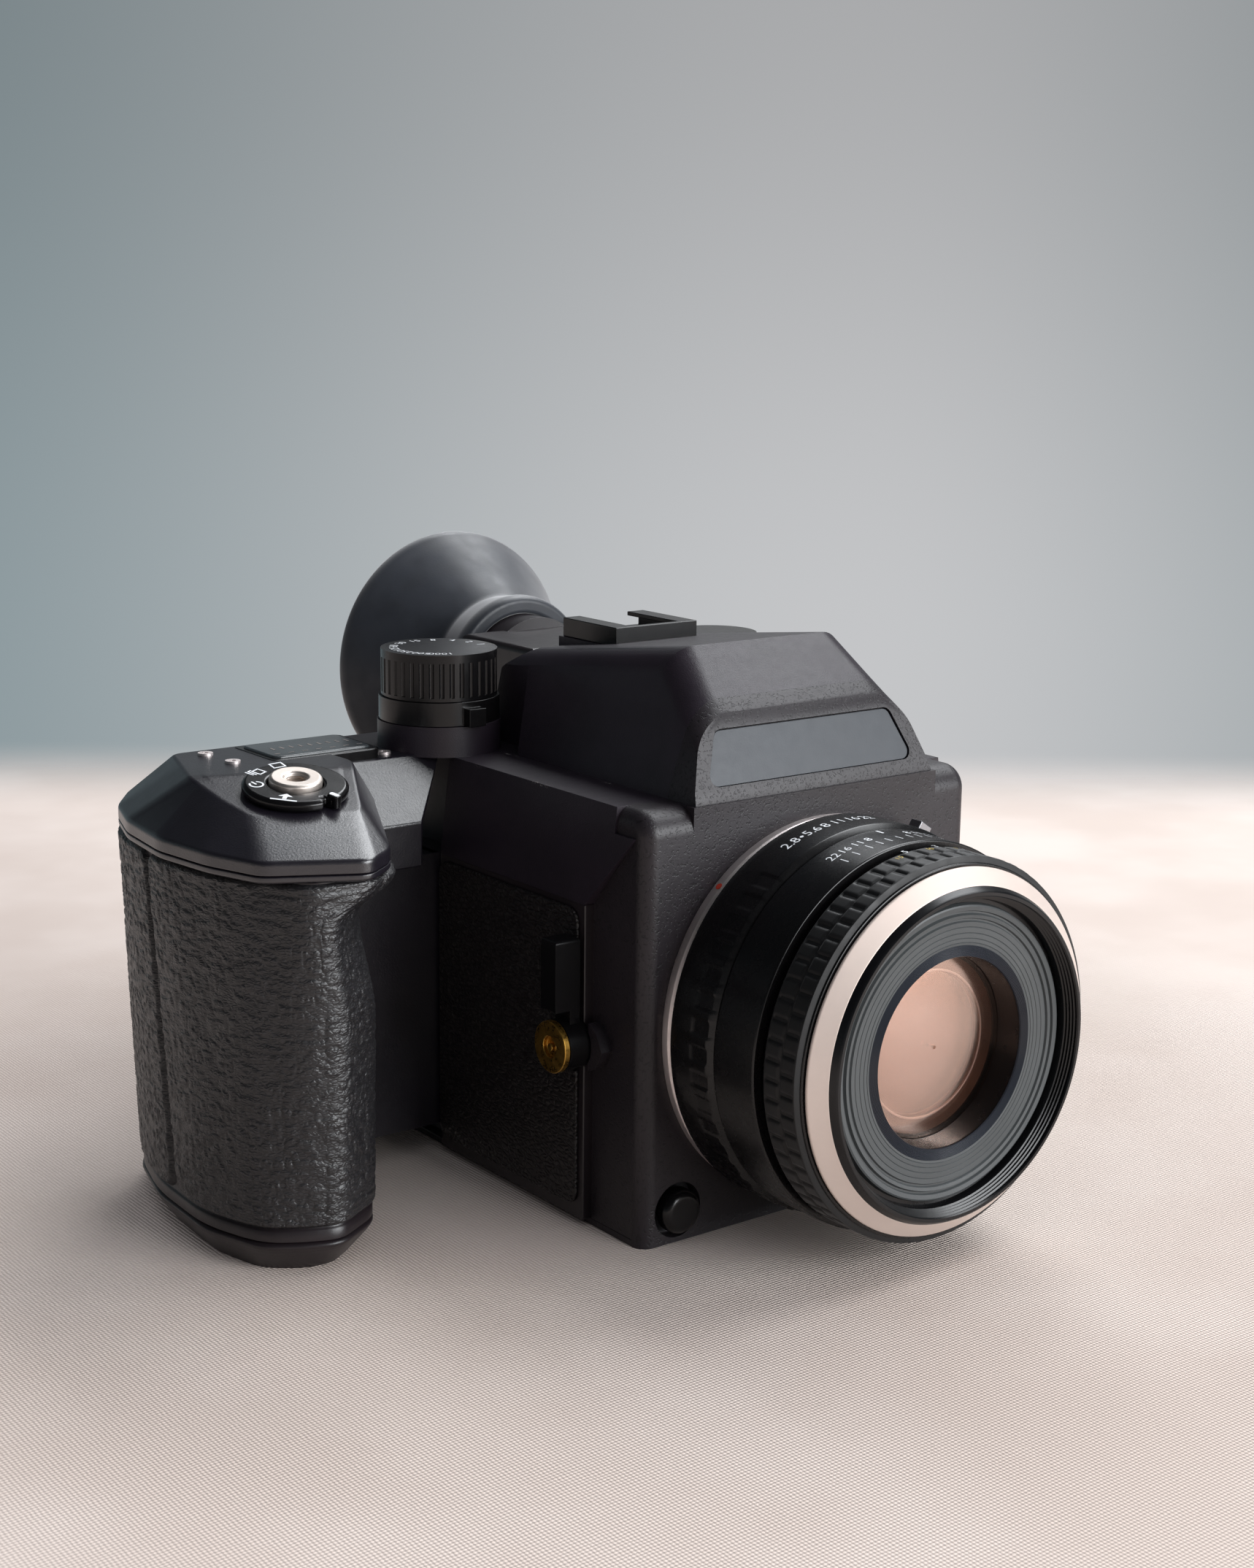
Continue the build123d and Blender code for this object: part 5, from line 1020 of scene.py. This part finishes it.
def outward(ring):
    """Unit outward normals in the XY plane of a stack of clockwise rings (rows, cols, 2)."""
    run = np.roll(ring, -1, axis=1) - np.roll(ring, 1, axis=1)
    turn = np.stack([-run[..., 1], run[..., 0]], -1)
    turn /= np.linalg.norm(turn, axis=-1, keepdims=True) + 1e-12
    area = np.sum(ring[0, :, 0] * np.roll(ring[0, :, 1], -1) - np.roll(ring[0, :, 0], -1) * ring[0, :, 1])
    return turn if area < 0 else -turn


def eased(stack, cut, steps=3):
    """A stack of rings (rows, cols, 3) with the bends between its rows curved, cut mm to each side."""
    p = stack[1:-1]
    before = stack[:-2] - p
    after = stack[2:] - p
    long_before = np.linalg.norm(before, axis=-1, keepdims=True) + 1e-9
    long_after = np.linalg.norm(after, axis=-1, keepdims=True) + 1e-9
    reach = np.asarray(cut, float).reshape(-1, 1, 1)
    a = p + before / long_before * np.minimum(reach, 0.45 * long_before)
    c = p + after / long_after * np.minimum(reach, 0.45 * long_after)
    t = np.linspace(0, 1, steps + 1).reshape(1, -1, 1, 1)
    curve = (1 - t) ** 2 * a[:, None] + 2 * t * (1 - t) * p[:, None] + t ** 2 * c[:, None]
    return held_rows(np.concatenate([stack[:1], curve.reshape(-1, *stack.shape[1:]), stack[-1:]]))


def shrink(outline, inset):
    """An outline moved inwards along its corner normals."""
    p = np.asarray(outline, float)
    return p - outward(p[None])[0] * inset


def level(points, z):
    """An outline's points at one height."""
    flat = np.asarray(points, float)
    return np.concatenate([flat, np.full((len(flat), 1), float(z))], 1)


def stacked(name, levels, corner, edge, material, body, count=260, sharp_deg=40, bend=None):
    """A closed body from outlines in space, one above the other, with curved corners and bends between
    them."""
    smooth = [rounded(points, corner, 5) for points in levels]
    index = even_index(smooth[0], count)[0]
    grid = eased(np.stack([read_at(ring, index) for ring in smooth]), edge)
    piece = surface(name, grid, material, body, wrap_cols=True, caps=True, sharp_deg=sharp_deg, bend=bend)
    return piece


def plate(name, box, z_low, z_high, corner, edge, material, body, sharp_deg=40, bend=None):
    """A flat block with round corners and soft upper and lower edges."""
    x0, x1, y0, y1 = box
    outline = [(x0, y0), (x0, y1), (x1, y1), (x1, y0)]
    levels = [level(shrink(outline, edge), z_low), level(outline, z_low + 0.01), level(outline, z_high),
              level(shrink(outline, edge * 2), z_high)]
    return stacked(name, levels, corner, [0.005, edge], material, body, 96, sharp_deg, bend)


def grip_outline(z):
    """The grip's outline (10 corners) at each height: low to high in even steps, with the finger ledge."""
    low = np.asarray(GRIP_LOW, float)[None]
    high = np.asarray(GRIP_HIGH, float)[None]
    ledge = np.asarray(GRIP_LEDGE, float)[None]
    share = ((z - TRIM_HIGH_Z) / (BAND_LOW_Z - TRIM_HIGH_Z)).reshape(-1, 1, 1)
    out = smoothstep(z, LEDGE_FOOT_Z + 4.5, LEDGE_LOW_Z + 4.5).reshape(-1, 1, 1)
    groove = (smoothstep(z, 46.0, 64.0) * (1 - smoothstep(z, 66.0, 72.0))).reshape(-1, 1, 1)
    push = np.zeros_like(high)
    push[0, 0] = (-3.2, 1.0)
    push[0, 1] = (-1.6, 0.3)
    push[0, 9] = (-1.4, -0.4)
    return low * (1 - share) + high * share + out * (ledge - high) + groove * push


def grip_rings(z, count):
    """Rings of the grip at the heights z, with matching points, the way round to each point and the length
    of the whole way, in mm."""
    outlines = grip_outline(z)
    first = rounded(outlines[len(z) // 2], GRIP_CUTS, 6)
    index, length = even_index(first, count)
    rings = np.stack([read_at(rounded(outline, GRIP_CUTS, 6), index) for outline in outlines])
    return rings, np.arange(count) / count * length, length


def grip_core():
    """The grip's plastic under the leather, also its trim strip below and the ridge between the panels. Each
    ring lies inset mm inside the grip's outline."""
    z = np.array([TRIM_LOW_Z, TRIM_LOW_Z + 0.3, TRIM_HIGH_Z - 0.3, TRIM_HIGH_Z, TRIM_HIGH_Z + 0.3, 30.0,
                  50.0, 64.0, 68.0, 71.0, 73.5, BAND_LOW_Z - 0.2, BAND_LOW_Z])
    inset = np.array([0.6, 0.05, 0.05, 0.3] + [0.55] * 8 + [1.2]).reshape(-1, 1, 1)
    rings = grip_rings(np.maximum(z, TRIM_HIGH_Z), 300)[0]
    flat = rings - outward(rings) * inset
    grid = np.concatenate([flat, np.broadcast_to(z.reshape(-1, 1, 1), (len(z), 300, 1))], -1)
    piece = surface("grip_plastic", grid, COVER_PLASTIC, "camera", wrap_cols=True, caps=True, sharp_deg=50)
    return piece


def hide_height(rows, cols, size_mm, seed):
    """Leather relief in mm: creases where either of two stretched noises crosses zero, on broad waves.
    h = crease min(s(|a|), s(|b|)) + wave c, with s a smooth step and cells about 1.1 mm high, 2 mm long."""
    shape = (rows, cols)
    first = smooth_noise(shape, (int(size_mm[0] / 1.1), int(size_mm[1] / 2.0)), seed)
    second = smooth_noise(shape, (int(size_mm[0] / 1.4), int(size_mm[1] / 2.6)), seed + 1)
    broad = smooth_noise(shape, (int(size_mm[0] / 5.0), int(size_mm[1] / 7.0)), seed + 2)
    crease = np.minimum(smoothstep(np.abs(first), 0.0, 0.4), smoothstep(np.abs(second), 0.0, 0.4))
    return CREASE_DEPTH * crease + WAVE_DEPTH * broad


def leather_panel(name, z_low, z_high, span, seed):
    """One leather panel: the grip's surface lifted by a wrinkled height where a rounded rectangle says so.
    lift = up i - sink (1 - i) + wrinkles i + base, with i a smooth step of the distance to the panel's edge.
    The way round starts at the ridge between the panels, and span gives the panel's two ends on it."""
    from_mm, to_mm = span
    z = np.arange(z_low, z_high + 0.01, 0.3)
    rings, along, length = grip_rings(z, 900)
    middle = rings[len(z) // 2]
    ridge = np.argmin(np.abs(middle[:, 1] - RIDGE_Y) + 100 * (middle[:, 0] > -100))
    rings = np.roll(rings, -ridge, axis=1)
    way = along - length if from_mm < 0 else along
    chosen = (way >= from_mm) & (way <= to_mm)
    normal = outward(rings)[:, chosen]
    ring = rings[:, chosen]
    way = way[chosen]
    pads = hide_height(len(z), len(way), (z_high - z_low, to_mm - from_mm), seed)
    centre = (0.5 * (from_mm + to_mm), 0.5 * (z_low + z_high))
    half = (0.5 * (to_mm - from_mm), 0.5 * (z_high - z_low))
    q_way = np.abs(way - centre[0])[None, :] - half[0] + PANEL_CORNER
    q_z = np.abs(z - centre[1])[:, None] - half[1] + PANEL_CORNER
    beyond = np.hypot(np.maximum(q_way, 0), np.maximum(q_z, 0)) + np.minimum(np.maximum(q_way, q_z), 0)
    inside = smoothstep(PANEL_CORNER - beyond, 0.0, 1.0)
    lift = PANEL_LIFT * inside - PANEL_SINK * (1 - inside) + pads * inside + PANEL_BASE
    flat = ring + normal * lift[..., None]
    grid = np.concatenate([flat, np.broadcast_to(z.reshape(-1, 1, 1), inside.shape + (1,))], -1)
    piece = surface(name, grid, GRIP_SKIN, "camera", sharp_deg=80)
    return piece


def grip():
    """The grip: plastic core, two walls towards the body, two leather panels and the battery tray below."""
    core = grip_core()
    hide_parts("grip_shell")
    for name, box in (("grip_inner_wall", (-66.0, -44.2, 66.4, WALL_REAR_Y)),
                      ("grip_root_wall", (-46.0, -39.6, 66.5, WALL_REAR_Y))):
        plate(name, box, TRIM_LOW_Z, WEB_FOOT_Z, 0.3, 0.15, CAP_PLASTIC, "camera")
    front = leather_panel("grip_leather_front", TRIM_HIGH_Z + 0.1, BAND_LOW_Z - 0.2, FRONT_PANEL, 11)
    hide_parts("grip_leather")
    leather_panel("grip_leather_rear", TRIM_HIGH_Z + 0.1, BAND_LOW_Z - 0.2, REAR_PANEL, 23)
    levels = [level(GRIP_FLOOR, 0.0), level(GRIP_FLOOR, 0.01), level(GRIP_LOW, FOOT_Z),
              level(GRIP_LOW, TRIM_LOW_Z - 0.5), level(shrink(GRIP_LOW, 0.7), TRIM_LOW_Z)]
    tray = stacked("battery_tray_foot", levels, 3.0, [0.0, 2.4, 0.3], COVER_PLASTIC, "battery_tray")
    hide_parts("battery_tray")


def deck_height(x, y):
    """The deck's height: the lower of the slanted plane and the level part, with a soft crease. With d the
    level part's height over the slanted one and h = clip(0.5 + d / 2k), it is
    z = flat (1-h) + slanted h - k h (1-h)."""
    slanted = DECK_Z + DECK_RISE * (y - DRIVE_Y) + DECK_LEAN * (x - DRIVE_X)
    share = np.clip(0.5 + (DECK_FLAT_Z - slanted) / (2 * DECK_CREASE), 0, 1)
    return DECK_FLAT_Z * (1 - share) + slanted * share - DECK_CREASE * share * (1 - share)


def deck_outline(inset):
    """The deck's outline in space, moved inwards."""
    flat = shrink(DECK_OUTLINE, inset)
    return np.concatenate([flat, deck_height(flat[:, 0], flat[:, 1])[:, None]], 1)


def cap_top():
    """The cap's slopes from the band to the deck, then the deck as rings that shrink to its middle:
    p = middle + s (edge - middle), with the height from the deck's formula."""
    band = np.asarray(BAND_OUTLINE, float)
    levels = [level(shrink(band, 0.5), BAND_SEAM_Z), level(band, BAND_SEAM_Z + 0.2),
              level(band, BAND_HIGH_Z), deck_outline(0.0), deck_outline(2.2)]
    smooth = [rounded(points, CAP_CORNER, 5) for points in levels]
    index = even_index(smooth[0], 330)[0]
    sides = eased(np.stack([read_at(ring, index) for ring in smooth]), [0.12, 0.7, 0.55], 4)
    edge = sides[-1]
    middle = edge.mean(0)
    share = np.linspace(1, 0.03, 26)[1:].reshape(-1, 1, 1)
    inner = middle + share * (edge - middle)
    inner[..., 2] = deck_height(inner[..., 0], inner[..., 1])
    grid = np.concatenate([sides, inner])
    piece = surface("grip_cap_top", grid, CAP_PLASTIC, "camera", wrap_cols=True, caps=True, sharp_deg=60)
    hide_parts("grip_cap")


def grip_web():
    """The sloped web between the cap and the body, with crisp edges. Each end gives the X of its lower and
    its upper corners."""
    section = [(58.0, WEB_FOOT_Z), (58.0, 74.0), (69.0, WEB_TOP_Z), (WALL_REAR_Y, WEB_TOP_Z),
               (WALL_REAR_Y, WEB_FOOT_Z)]
    ends = []
    for low, high in ((-74.0, -72.0), (-53.6, -42.2)):
        ends.append([(low if z < 75 else high, y, z) for y, z in section])
    web = surface("grip_web_block", np.array(ends, float), CAP_PLASTIC, "camera", wrap_cols=True, caps=True,
                  sharp_deg=5)
    bevelled(web, 0.4, 3, 8.0)


def on_glass(flat, spot):
    """Places a figure on the display window: spot is its middle in X and Y."""
    height = np.full(len(flat), DECK_FLAT_Z + 0.5 + MARK_LIFT)
    return np.stack([spot[0] + flat[:, 0], spot[1] + flat[:, 1], height], -1)


def grip_cap():
    """The cap: the lower band, the slopes and deck, the web and the display with its plain marks."""
    band = np.asarray(BAND_OUTLINE, float)
    levels = [level(shrink(band, 0.9), BAND_LOW_Z - 0.1), level(band, BAND_LOW_Z + 0.3),
              level(band, BAND_SEAM_Z - 0.15), level(shrink(band, 0.5), BAND_SEAM_Z)]
    stacked("grip_cap_band", levels, CAP_CORNER, [0.3, 0.12], CAP_PLASTIC, "camera")
    cap_top()
    grip_web()
    plate("display_frame", DISPLAY_FRAME, 82.0, DECK_FLAT_Z + 0.1, 1.2, 0.35, CONTROL_PLASTIC, "camera")
    window = plate("display_glass", DISPLAY_WINDOW, DECK_FLAT_Z - 1.0, DECK_FLAT_Z + 0.5, 1.5, 0.4,
                   DISPLAY_GLASS, "camera")
    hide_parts("display_window")
    figures = []
    for i in range(7):
        figures.append((bar(1.3, 0.45), (-77.5 + 3.1 * i, 73.2)))
    for i in range(9):
        figures.append((bar(0.5, 1.9), (-76.0 + 2.1 * i, 78.0)))
    marks = flat_marks("display_marks", figures, on_glass, GREY_MARK, "camera")


def on_rim(points):
    """Turns points beside the drive dial's middle to its index, then square to the slanted deck:
    p = middle + (x cos a - y sin a, x sin a + y cos a)."""
    flat = np.asarray(points, float).reshape(-1, 3)
    turn = math.radians(DRIVE_INDEX_ANGLE)
    x = DRIVE_X + flat[:, 0] * math.cos(turn) - flat[:, 1] * math.sin(turn)
    y = DRIVE_Y + flat[:, 0] * math.sin(turn) + flat[:, 1] * math.cos(turn)
    return on_deck(np.stack([x, y, flat[:, 2]], -1))


def drive_dial():
    """The drive dial: a ring round the release button with a bevelled rim, a cut in the rim and a raised
    index beside it. The rim's radius is R - depth * cut(angle)."""
    angle = np.linspace(0, 2 * np.pi, 288, endpoint=False)
    away = np.abs((np.degrees(angle) - DRIVE_CUT_ANGLE + 180) % 360 - 180)
    cut = 1 - smoothstep(away, 4.0, 6.0)
    rim = DRIVE_RADIUS
    profile = held(rounded([(DRIVE_WELL, DRIVE_FOOT), (rim - 0.5, DRIVE_FOOT), (rim, DRIVE_LOW_EDGE),
                            (rim, DRIVE_HIGH_EDGE), (rim - 0.6, DRIVE_TOP), (DRIVE_WELL_TOP, DRIVE_TOP),
                            (DRIVE_WELL, DRIVE_TOP - 0.3)], 0.25, 3))
    near_rim = smoothstep(profile[:, 0], 8.0, 8.6)
    radius = profile[:, 0][:, None] - DRIVE_CUT_DEPTH * cut[None, :] * near_rim[:, None]
    height = np.broadcast_to(profile[:, 1][:, None], radius.shape)
    grid = np.stack([DRIVE_X + radius * np.cos(angle), DRIVE_Y + radius * np.sin(angle), height], -1)
    disc = surface("drive_dial_disc", grid, CONTROL_PLASTIC, "drive_dial", wrap_rows=True, wrap_cols=True,
                   sharp_deg=28, bend=on_deck)
    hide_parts("drive_dial")
    plate("drive_index_bar", (8.3, 10.9, -0.85, 0.85), 85.8, DRIVE_TOP + 0.45, 0.7, 0.22, CONTROL_PLASTIC,
          "drive_dial", bend=on_rim)
    plate("drive_index_mark", (8.6, 10.6, -0.5, 0.5), DRIVE_TOP + 0.3, DRIVE_TOP + 0.52, 0.45, 0.05,
          WHITE_MARK, "drive_dial", bend=on_rim)


def release_button():
    """The release button's disc with its bevel and rolled lower edge, and the threaded cable hole."""
    top = RELEASE_TOP
    bore = CABLE_RADIUS
    profile = rounded([(bore, RELEASE_FOOT), (bore, top - 0.4), (bore + 0.4, top - 0.05),
                       (RELEASE_RADIUS - 0.45, top), (RELEASE_RADIUS, top - 0.4),
                       (RELEASE_RADIUS, RELEASE_FOOT)], 0.16, 3)
    button = turned("release_disc", profile, WARM_STEEL, "release_button", (DRIVE_X, DRIVE_Y), "Z", 96,
                    bend=on_deck)
    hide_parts("release_button")
    thread = []
    for i in range(3):
        z = top - 0.5 - THREAD_PITCH * i
        thread += [(bore, z), (bore - 0.3, z - 0.5 * THREAD_PITCH)]
    thread += [(0.3, top - 1.9), (0.3, top - 2.1), (bore + 0.15, top - 2.1), (bore + 0.15, top - 0.5)]
    hole = turned("release_bore", thread, WARM_STEEL, "release_button", (DRIVE_X, DRIVE_Y), "Z", 64,
                  bend=on_deck)


def frame_of(width, height, line, at=(0.0, 0.0)):
    """A rectangle's outline as four bars."""
    parts = []
    for side in (-1, 1):
        parts.append(bar(width + line, line, (at[0], at[1] + side * height / 2)))
        parts.append(bar(line, height, (at[0] + side * width / 2, at[1])))
    return joined(parts)


def arc_of(radius, line, start, stop, count=24, at=(0.0, 0.0)):
    """A curved line as a strip of quads from angle start to stop in degrees."""
    a = np.radians(np.linspace(start, stop, count))
    inner = np.stack([np.cos(a), np.sin(a)], -1) * (radius - line / 2) + at
    outer = np.stack([np.cos(a), np.sin(a)], -1) * (radius + line / 2) + at
    faces = [[i, i + 1, count + i + 1, count + i] for i in range(count - 1)]
    return np.concatenate([inner, outer]), faces


def on_dial(flat, spot):
    """Places a figure on the drive dial: spot is (angle, radius, turn) in degrees and mm, from +X."""
    degrees, radius, turn = spot
    angle = math.radians(degrees)
    turn = math.radians(turn)
    x = DRIVE_X + radius * math.cos(angle) + flat[:, 0] * math.cos(turn) - flat[:, 1] * math.sin(turn)
    y = DRIVE_Y + radius * math.sin(angle) + flat[:, 0] * math.sin(turn) + flat[:, 1] * math.cos(turn)
    return on_deck(np.stack([x, y, np.full(len(flat), DRIVE_TOP + MARK_LIFT)], -1))


def dial_marks():
    """Generic marks: one frame, a stack of frames, a timer, then a plain arrow sign; no letters."""
    single = frame_of(2.4, 2.0, 0.34)
    stack = joined([frame_of(1.7, 2.0, 0.34, (0.5, 0.0)), bar(0.3, 2.0, (-0.95, 0.35)),
                    bar(0.3, 2.0, (-1.5, 0.7)), bar(1.0, 0.3, (-0.5, 1.5))])
    timer = joined([arc_of(1.25, 0.38, 125, 415), bar(0.38, 1.5, (0.0, 0.75))])
    arrow = joined([bar(5.0, 0.5, (0.0, -1.2)), bar(0.8, 1.2, (0.0, -0.2)),
                    (np.array([[-1.4, 0.4], [1.4, 0.4], [0.0, 1.7]]), [[0, 1, 2]])])
    figures = [(single, (84.0, 8.6, 0.0)), (stack, (121.0, 8.2, 24.0)), (timer, (164.0, 7.4, 10.0)),
               (arrow, (226.0, 7.7, -42.0))]
    marks = flat_marks("drive_marks", figures, on_dial, WHITE_MARK, "drive_dial")


def on_speed_dial(flat, degrees):
    """Wraps a figure round the shutter dial's top: angle = place - u / radius, with v outwards."""
    turn = math.radians(degrees) - flat[:, 0] / SPEED_RING
    radius = SPEED_RING + flat[:, 1]
    height = np.full(len(flat), SPEED_TOP + MARK_LIFT)
    return np.stack([SPEED_X + radius * np.cos(turn), DIAL_Y + radius * np.sin(turn), height], -1)


def speed_marks():
    """Numbers round the shutter dial's top edge."""
    spots = [(word, SPEED_START - SPEED_STEP * i) for i, word in enumerate(SPEED_WORDS)]
    figures = numbers(spots, SPEED_HEIGHT)
    marks = flat_marks("speed_numbers", figures, on_speed_dial, WHITE_MARK, "shutter_speed_dial")


# Body

def eyecup():
    """The eyecup: a sleeve on the tube, a flared cone, and a rounded lip."""
    outer = rounded(CUP_OUTLINE, 1.0, 5)
    cup = turned("eyecup_rubber", outer, CUP_RUBBER, "camera", (0.0, EYE_Z), "Y", 200, 60)
    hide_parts("eyecup")


def body_shells():
    """CAD shapes that are right stay; their edges are softened and they get their finishes."""
    plan = [("front_casing", PAINT, 0.35, "body_paint"), ("top_cover", TOP_PAINT, 0.45, "body_paint"),
            ("name_plate", PLATE_PAINT, 0.12, "cover_plastic"),
            ("grip_side_cover", COVER_PLASTIC, 0.3, "cover_plastic"),
            ("socket_side_cover", COVER_PLASTIC, 0.3, "cover_plastic"),
            ("grip_side_leather", SIDE_SKIN, 0.3, "leather_skin"),
            ("socket_side_leather", SIDE_SKIN, 0.3, "leather_skin"),
            ("base_plate", PAINT, 0.25, "body_paint"),
            ("accessory_shoe", CONTROL_PLASTIC, 0.15, "bright_metal"),
            ("eyepiece_housing", COVER_PLASTIC, 0.4, "cover_plastic"),
            ("strap_lugs", CHROME, 0.2, "bright_metal"),
            ("preview_screw", BRASS, 0.2, "brass_screw")]
    for node, material, width, slot in plan:
        softened(node, material, "camera", width)
    softened("preview_lever", CONTROL_PLASTIC, "preview_lever", 0.35)
    softened("aperture_lock_button", STEEL, "aperture_lock", 0.25)
    softened("film_back_cover", PAINT, "film_insert", 0.6)
    softened("metering_lever", CONTROL_PLASTIC, "metering_lever", 0.2)
    paint_node(CAST_METAL, "body_casting", "film_insert_frame")
    paint_node(MOUNT_METAL, "deck_screws")
    paint_node(STEEL, "tripod_bushes", "mirror_frame", "pressure_plate", "battery_latch",
               "film_latch_key", "lens_bayonet")
    paint_node(CONTROL_PLASTIC, "shutter_speed_dial", "exposure_dial", "dioptre_wheel",
               "lens_release_button", "focus_mode_switch", "side_sockets")
    paint_node(RIM_PAINT, "iris_unit", "shutter_frame", "shutter_leaf_top", "shutter_leaf_mid",
               "shutter_leaf_low")
    paint_node(CLEAR_GLASS, "eyepiece_lens", "rear_element", "focusing_screen", "pentaprism",
               "reflex_mirror")
    paint_node(COVER_PLASTIC, "feed_spool", "takeup_spool")
    paint_node(GREY_MARK, "battery_cells")


# Stage

def cloth():
    """Pale cloth: a fine weave of crossed sine ridges that fades out away from the object, on a cloudy tone.
    The cloth turns clear towards the far edge of the table, along the view."""
    r = Recipe("pale_cloth")
    crossing = r.math("ADD", r.ridges("X", 420.0, 1.5), r.ridges("Y", 420.0, 1.5))
    threads = r.math("MULTIPLY", crossing, r.between(r.measure("LENGTH", r.place), 0.13, 0.24, 1.0, 0.02))
    tone = r.cloudy(9.0, rgb(199, 184, 174), rgb(211, 198, 189))
    tone = r.blend(r.between(threads, 0.2, 1.8, 0.0, 0.5), tone, rgb(168, 152, 140))
    ahead = (math.sin(EYE_YAW), math.cos(EYE_YAW), 0.0)
    start = float(place(EYE_POINT) @ ahead)
    reach = r.measure("DOT_PRODUCT", r.place, ahead)
    thin = r.between(reach, start + FLOOR_FADE, start + FLOOR_REACH, 1.0, 0.0)
    return r.done(Base_Color=tone, Roughness=0.9, Alpha=thin, Normal=r.bump(threads, 0.5, 0.0003))


def eye_axes():
    """The camera's right, up and forward directions from yaw, pitch and roll."""
    forward = np.array([math.sin(EYE_YAW) * math.cos(EYE_PITCH), math.cos(EYE_YAW) * math.cos(EYE_PITCH),
                        -math.sin(EYE_PITCH)])
    level = np.array([math.cos(EYE_YAW), -math.sin(EYE_YAW), 0.0])
    above = np.cross(level, forward)
    right = math.cos(EYE_ROLL) * level + math.sin(EYE_ROLL) * above
    up = -math.sin(EYE_ROLL) * level + math.cos(EYE_ROLL) * above
    return right, up, forward


def stage():
    """The table top that ends behind the camera body, as far off as in the view."""
    ahead = np.array([math.sin(EYE_YAW), math.cos(EYE_YAW), 0.0])
    wide = np.array([ahead[1], -ahead[0], 0.0]) * TABLE_REACH
    foot = place(EYE_POINT) * (1.0, 1.0, 0.0)
    far = foot + ahead * FLOOR_REACH
    near = foot - ahead * TABLE_REACH
    mesh = bpy.data.meshes.new("table_cloth")
    corners = [tuple(c) for c in (far + wide, far - wide, near - wide, near + wide)]
    mesh.from_pydata(corners, [], [[0, 1, 2, 3]])
    mesh.materials.append(cloth())
    mesh.update()
    linked("table_cloth", mesh)


def world():
    """A grey room. Camera, mirror and glass rays see the wall, palest in the middle, under a dark ceiling
    and dimmer behind the viewer. The light it gives the object is separate and comes mostly from the right
    and from above."""
    room = bpy.data.worlds.new("room")
    bpy.context.scene.world = room
    room.use_nodes = True
    n = Nodes(room.node_tree)
    n.tree.nodes.remove(n.tree.nodes["Background"])
    way = n.add("ShaderNodeTexCoord").outputs["Generated"]
    height = n.part(way, "Z")
    sideways = n.measure("DOT_PRODUCT", way, (math.cos(EYE_YAW), -math.sin(EYE_YAW), 0.0))
    onwards = n.measure("DOT_PRODUCT", way, (math.sin(EYE_YAW), math.cos(EYE_YAW), 0.0))
    left = n.blend(n.between(sideways, -0.36, 0.1), rgb(130, 145, 150), rgb(191, 192, 194))
    wall = n.add("ShaderNodeBackground")
    n.feed(wall.inputs["Color"], n.blend(n.between(sideways, 0.1, 0.36), left, rgb(156, 163, 166)))
    ceiling = n.between(height, 0.16, 0.42, 1.0, ROOM_CEILING)
    behind = n.between(onwards, -0.2, 0.5, ROOM_BEHIND, 1.0)
    fall = n.between(height, -0.16, 0.14, 1.06, 0.76)
    n.feed(wall.inputs["Strength"], n.math("MULTIPLY", n.math("MULTIPLY", ceiling, behind), fall))
    soft = n.add("ShaderNodeBackground")
    soft.inputs["Color"].default_value = rgb(205, 208, 216)
    across = n.between(sideways, -0.8, 0.8, ROOM_LEFT, ROOM_RIGHT)
    above = n.between(height, -0.1, 0.9, 0.55, 1.5)
    n.feed(soft.inputs["Strength"], n.math("MULTIPLY", across, above))
    ray = n.add("ShaderNodeLightPath")
    seen = n.math("MAXIMUM", ray.outputs["Is Camera Ray"], ray.outputs["Is Glossy Ray"])
    mix = n.add("ShaderNodeMixShader")
    n.feed(mix.inputs["Fac"], n.math("MAXIMUM", seen, ray.outputs["Is Transmission Ray"]))
    n.feed(mix.inputs[1], soft.outputs["Background"])
    n.feed(mix.inputs[2], wall.outputs["Background"])
    n.feed(n.tree.nodes["World Output"].inputs["Surface"], mix.outputs["Shader"])


def area_light(name, spot, size, power):
    """A rectangular lamp at a spot in metres, facing straight down until it is turned."""
    data = bpy.data.lights.new(name, "AREA")
    data.shape = "RECTANGLE"
    data.size = size[0]
    data.size_y = size[1]
    data.energy = power
    data.color = LAMP_TONE
    lamp = linked(name, data)
    lamp.location = spot
    return lamp


def lights():
    """Two slightly cool windows: one high up on the right, tilted, and a lower one in front to the right,
    which faces the object."""
    high = area_light("high_window", HIGH_PLACE, HIGH_SIZE, HIGH_POWER)
    high.rotation_euler = (0.0, math.radians(HIGH_TILT), 0.0)
    front = area_light("front_window", FRONT_PLACE, FRONT_SIZE, FRONT_POWER)
    front.rotation_euler = (Vector(FRONT_TARGET) - Vector(FRONT_PLACE)).to_track_quat("-Z", "Y").to_euler()


def eye():
    """The camera at the view of the photograph."""
    right, up, forward = eye_axes()
    data = bpy.data.cameras.new("view")
    data.sensor_width = 36.0
    data.sensor_fit = "HORIZONTAL"
    data.lens = EYE_LENS
    data.clip_start = 0.01
    data.clip_end = 50.0
    camera = linked("view", data)
    pose = np.eye(4)
    pose[:3] = np.stack([right, up, -forward, place(EYE_POINT)], 1)
    camera.matrix_world = Matrix(pose.tolist())
    bpy.context.scene.camera = camera


aperture_ring()
lens_barrel()
focus_ring()
focus_rubber()
mount_face()
trim_ring()
front_barrel()
optics()
lens_marks()
grip()
grip_cap()
drive_dial()
release_button()
dial_marks()
speed_marks()
eyecup()
body_shells()
stage()
world()
lights()
eye()

scene = bpy.context.scene
scene.view_settings.view_transform = "Standard"
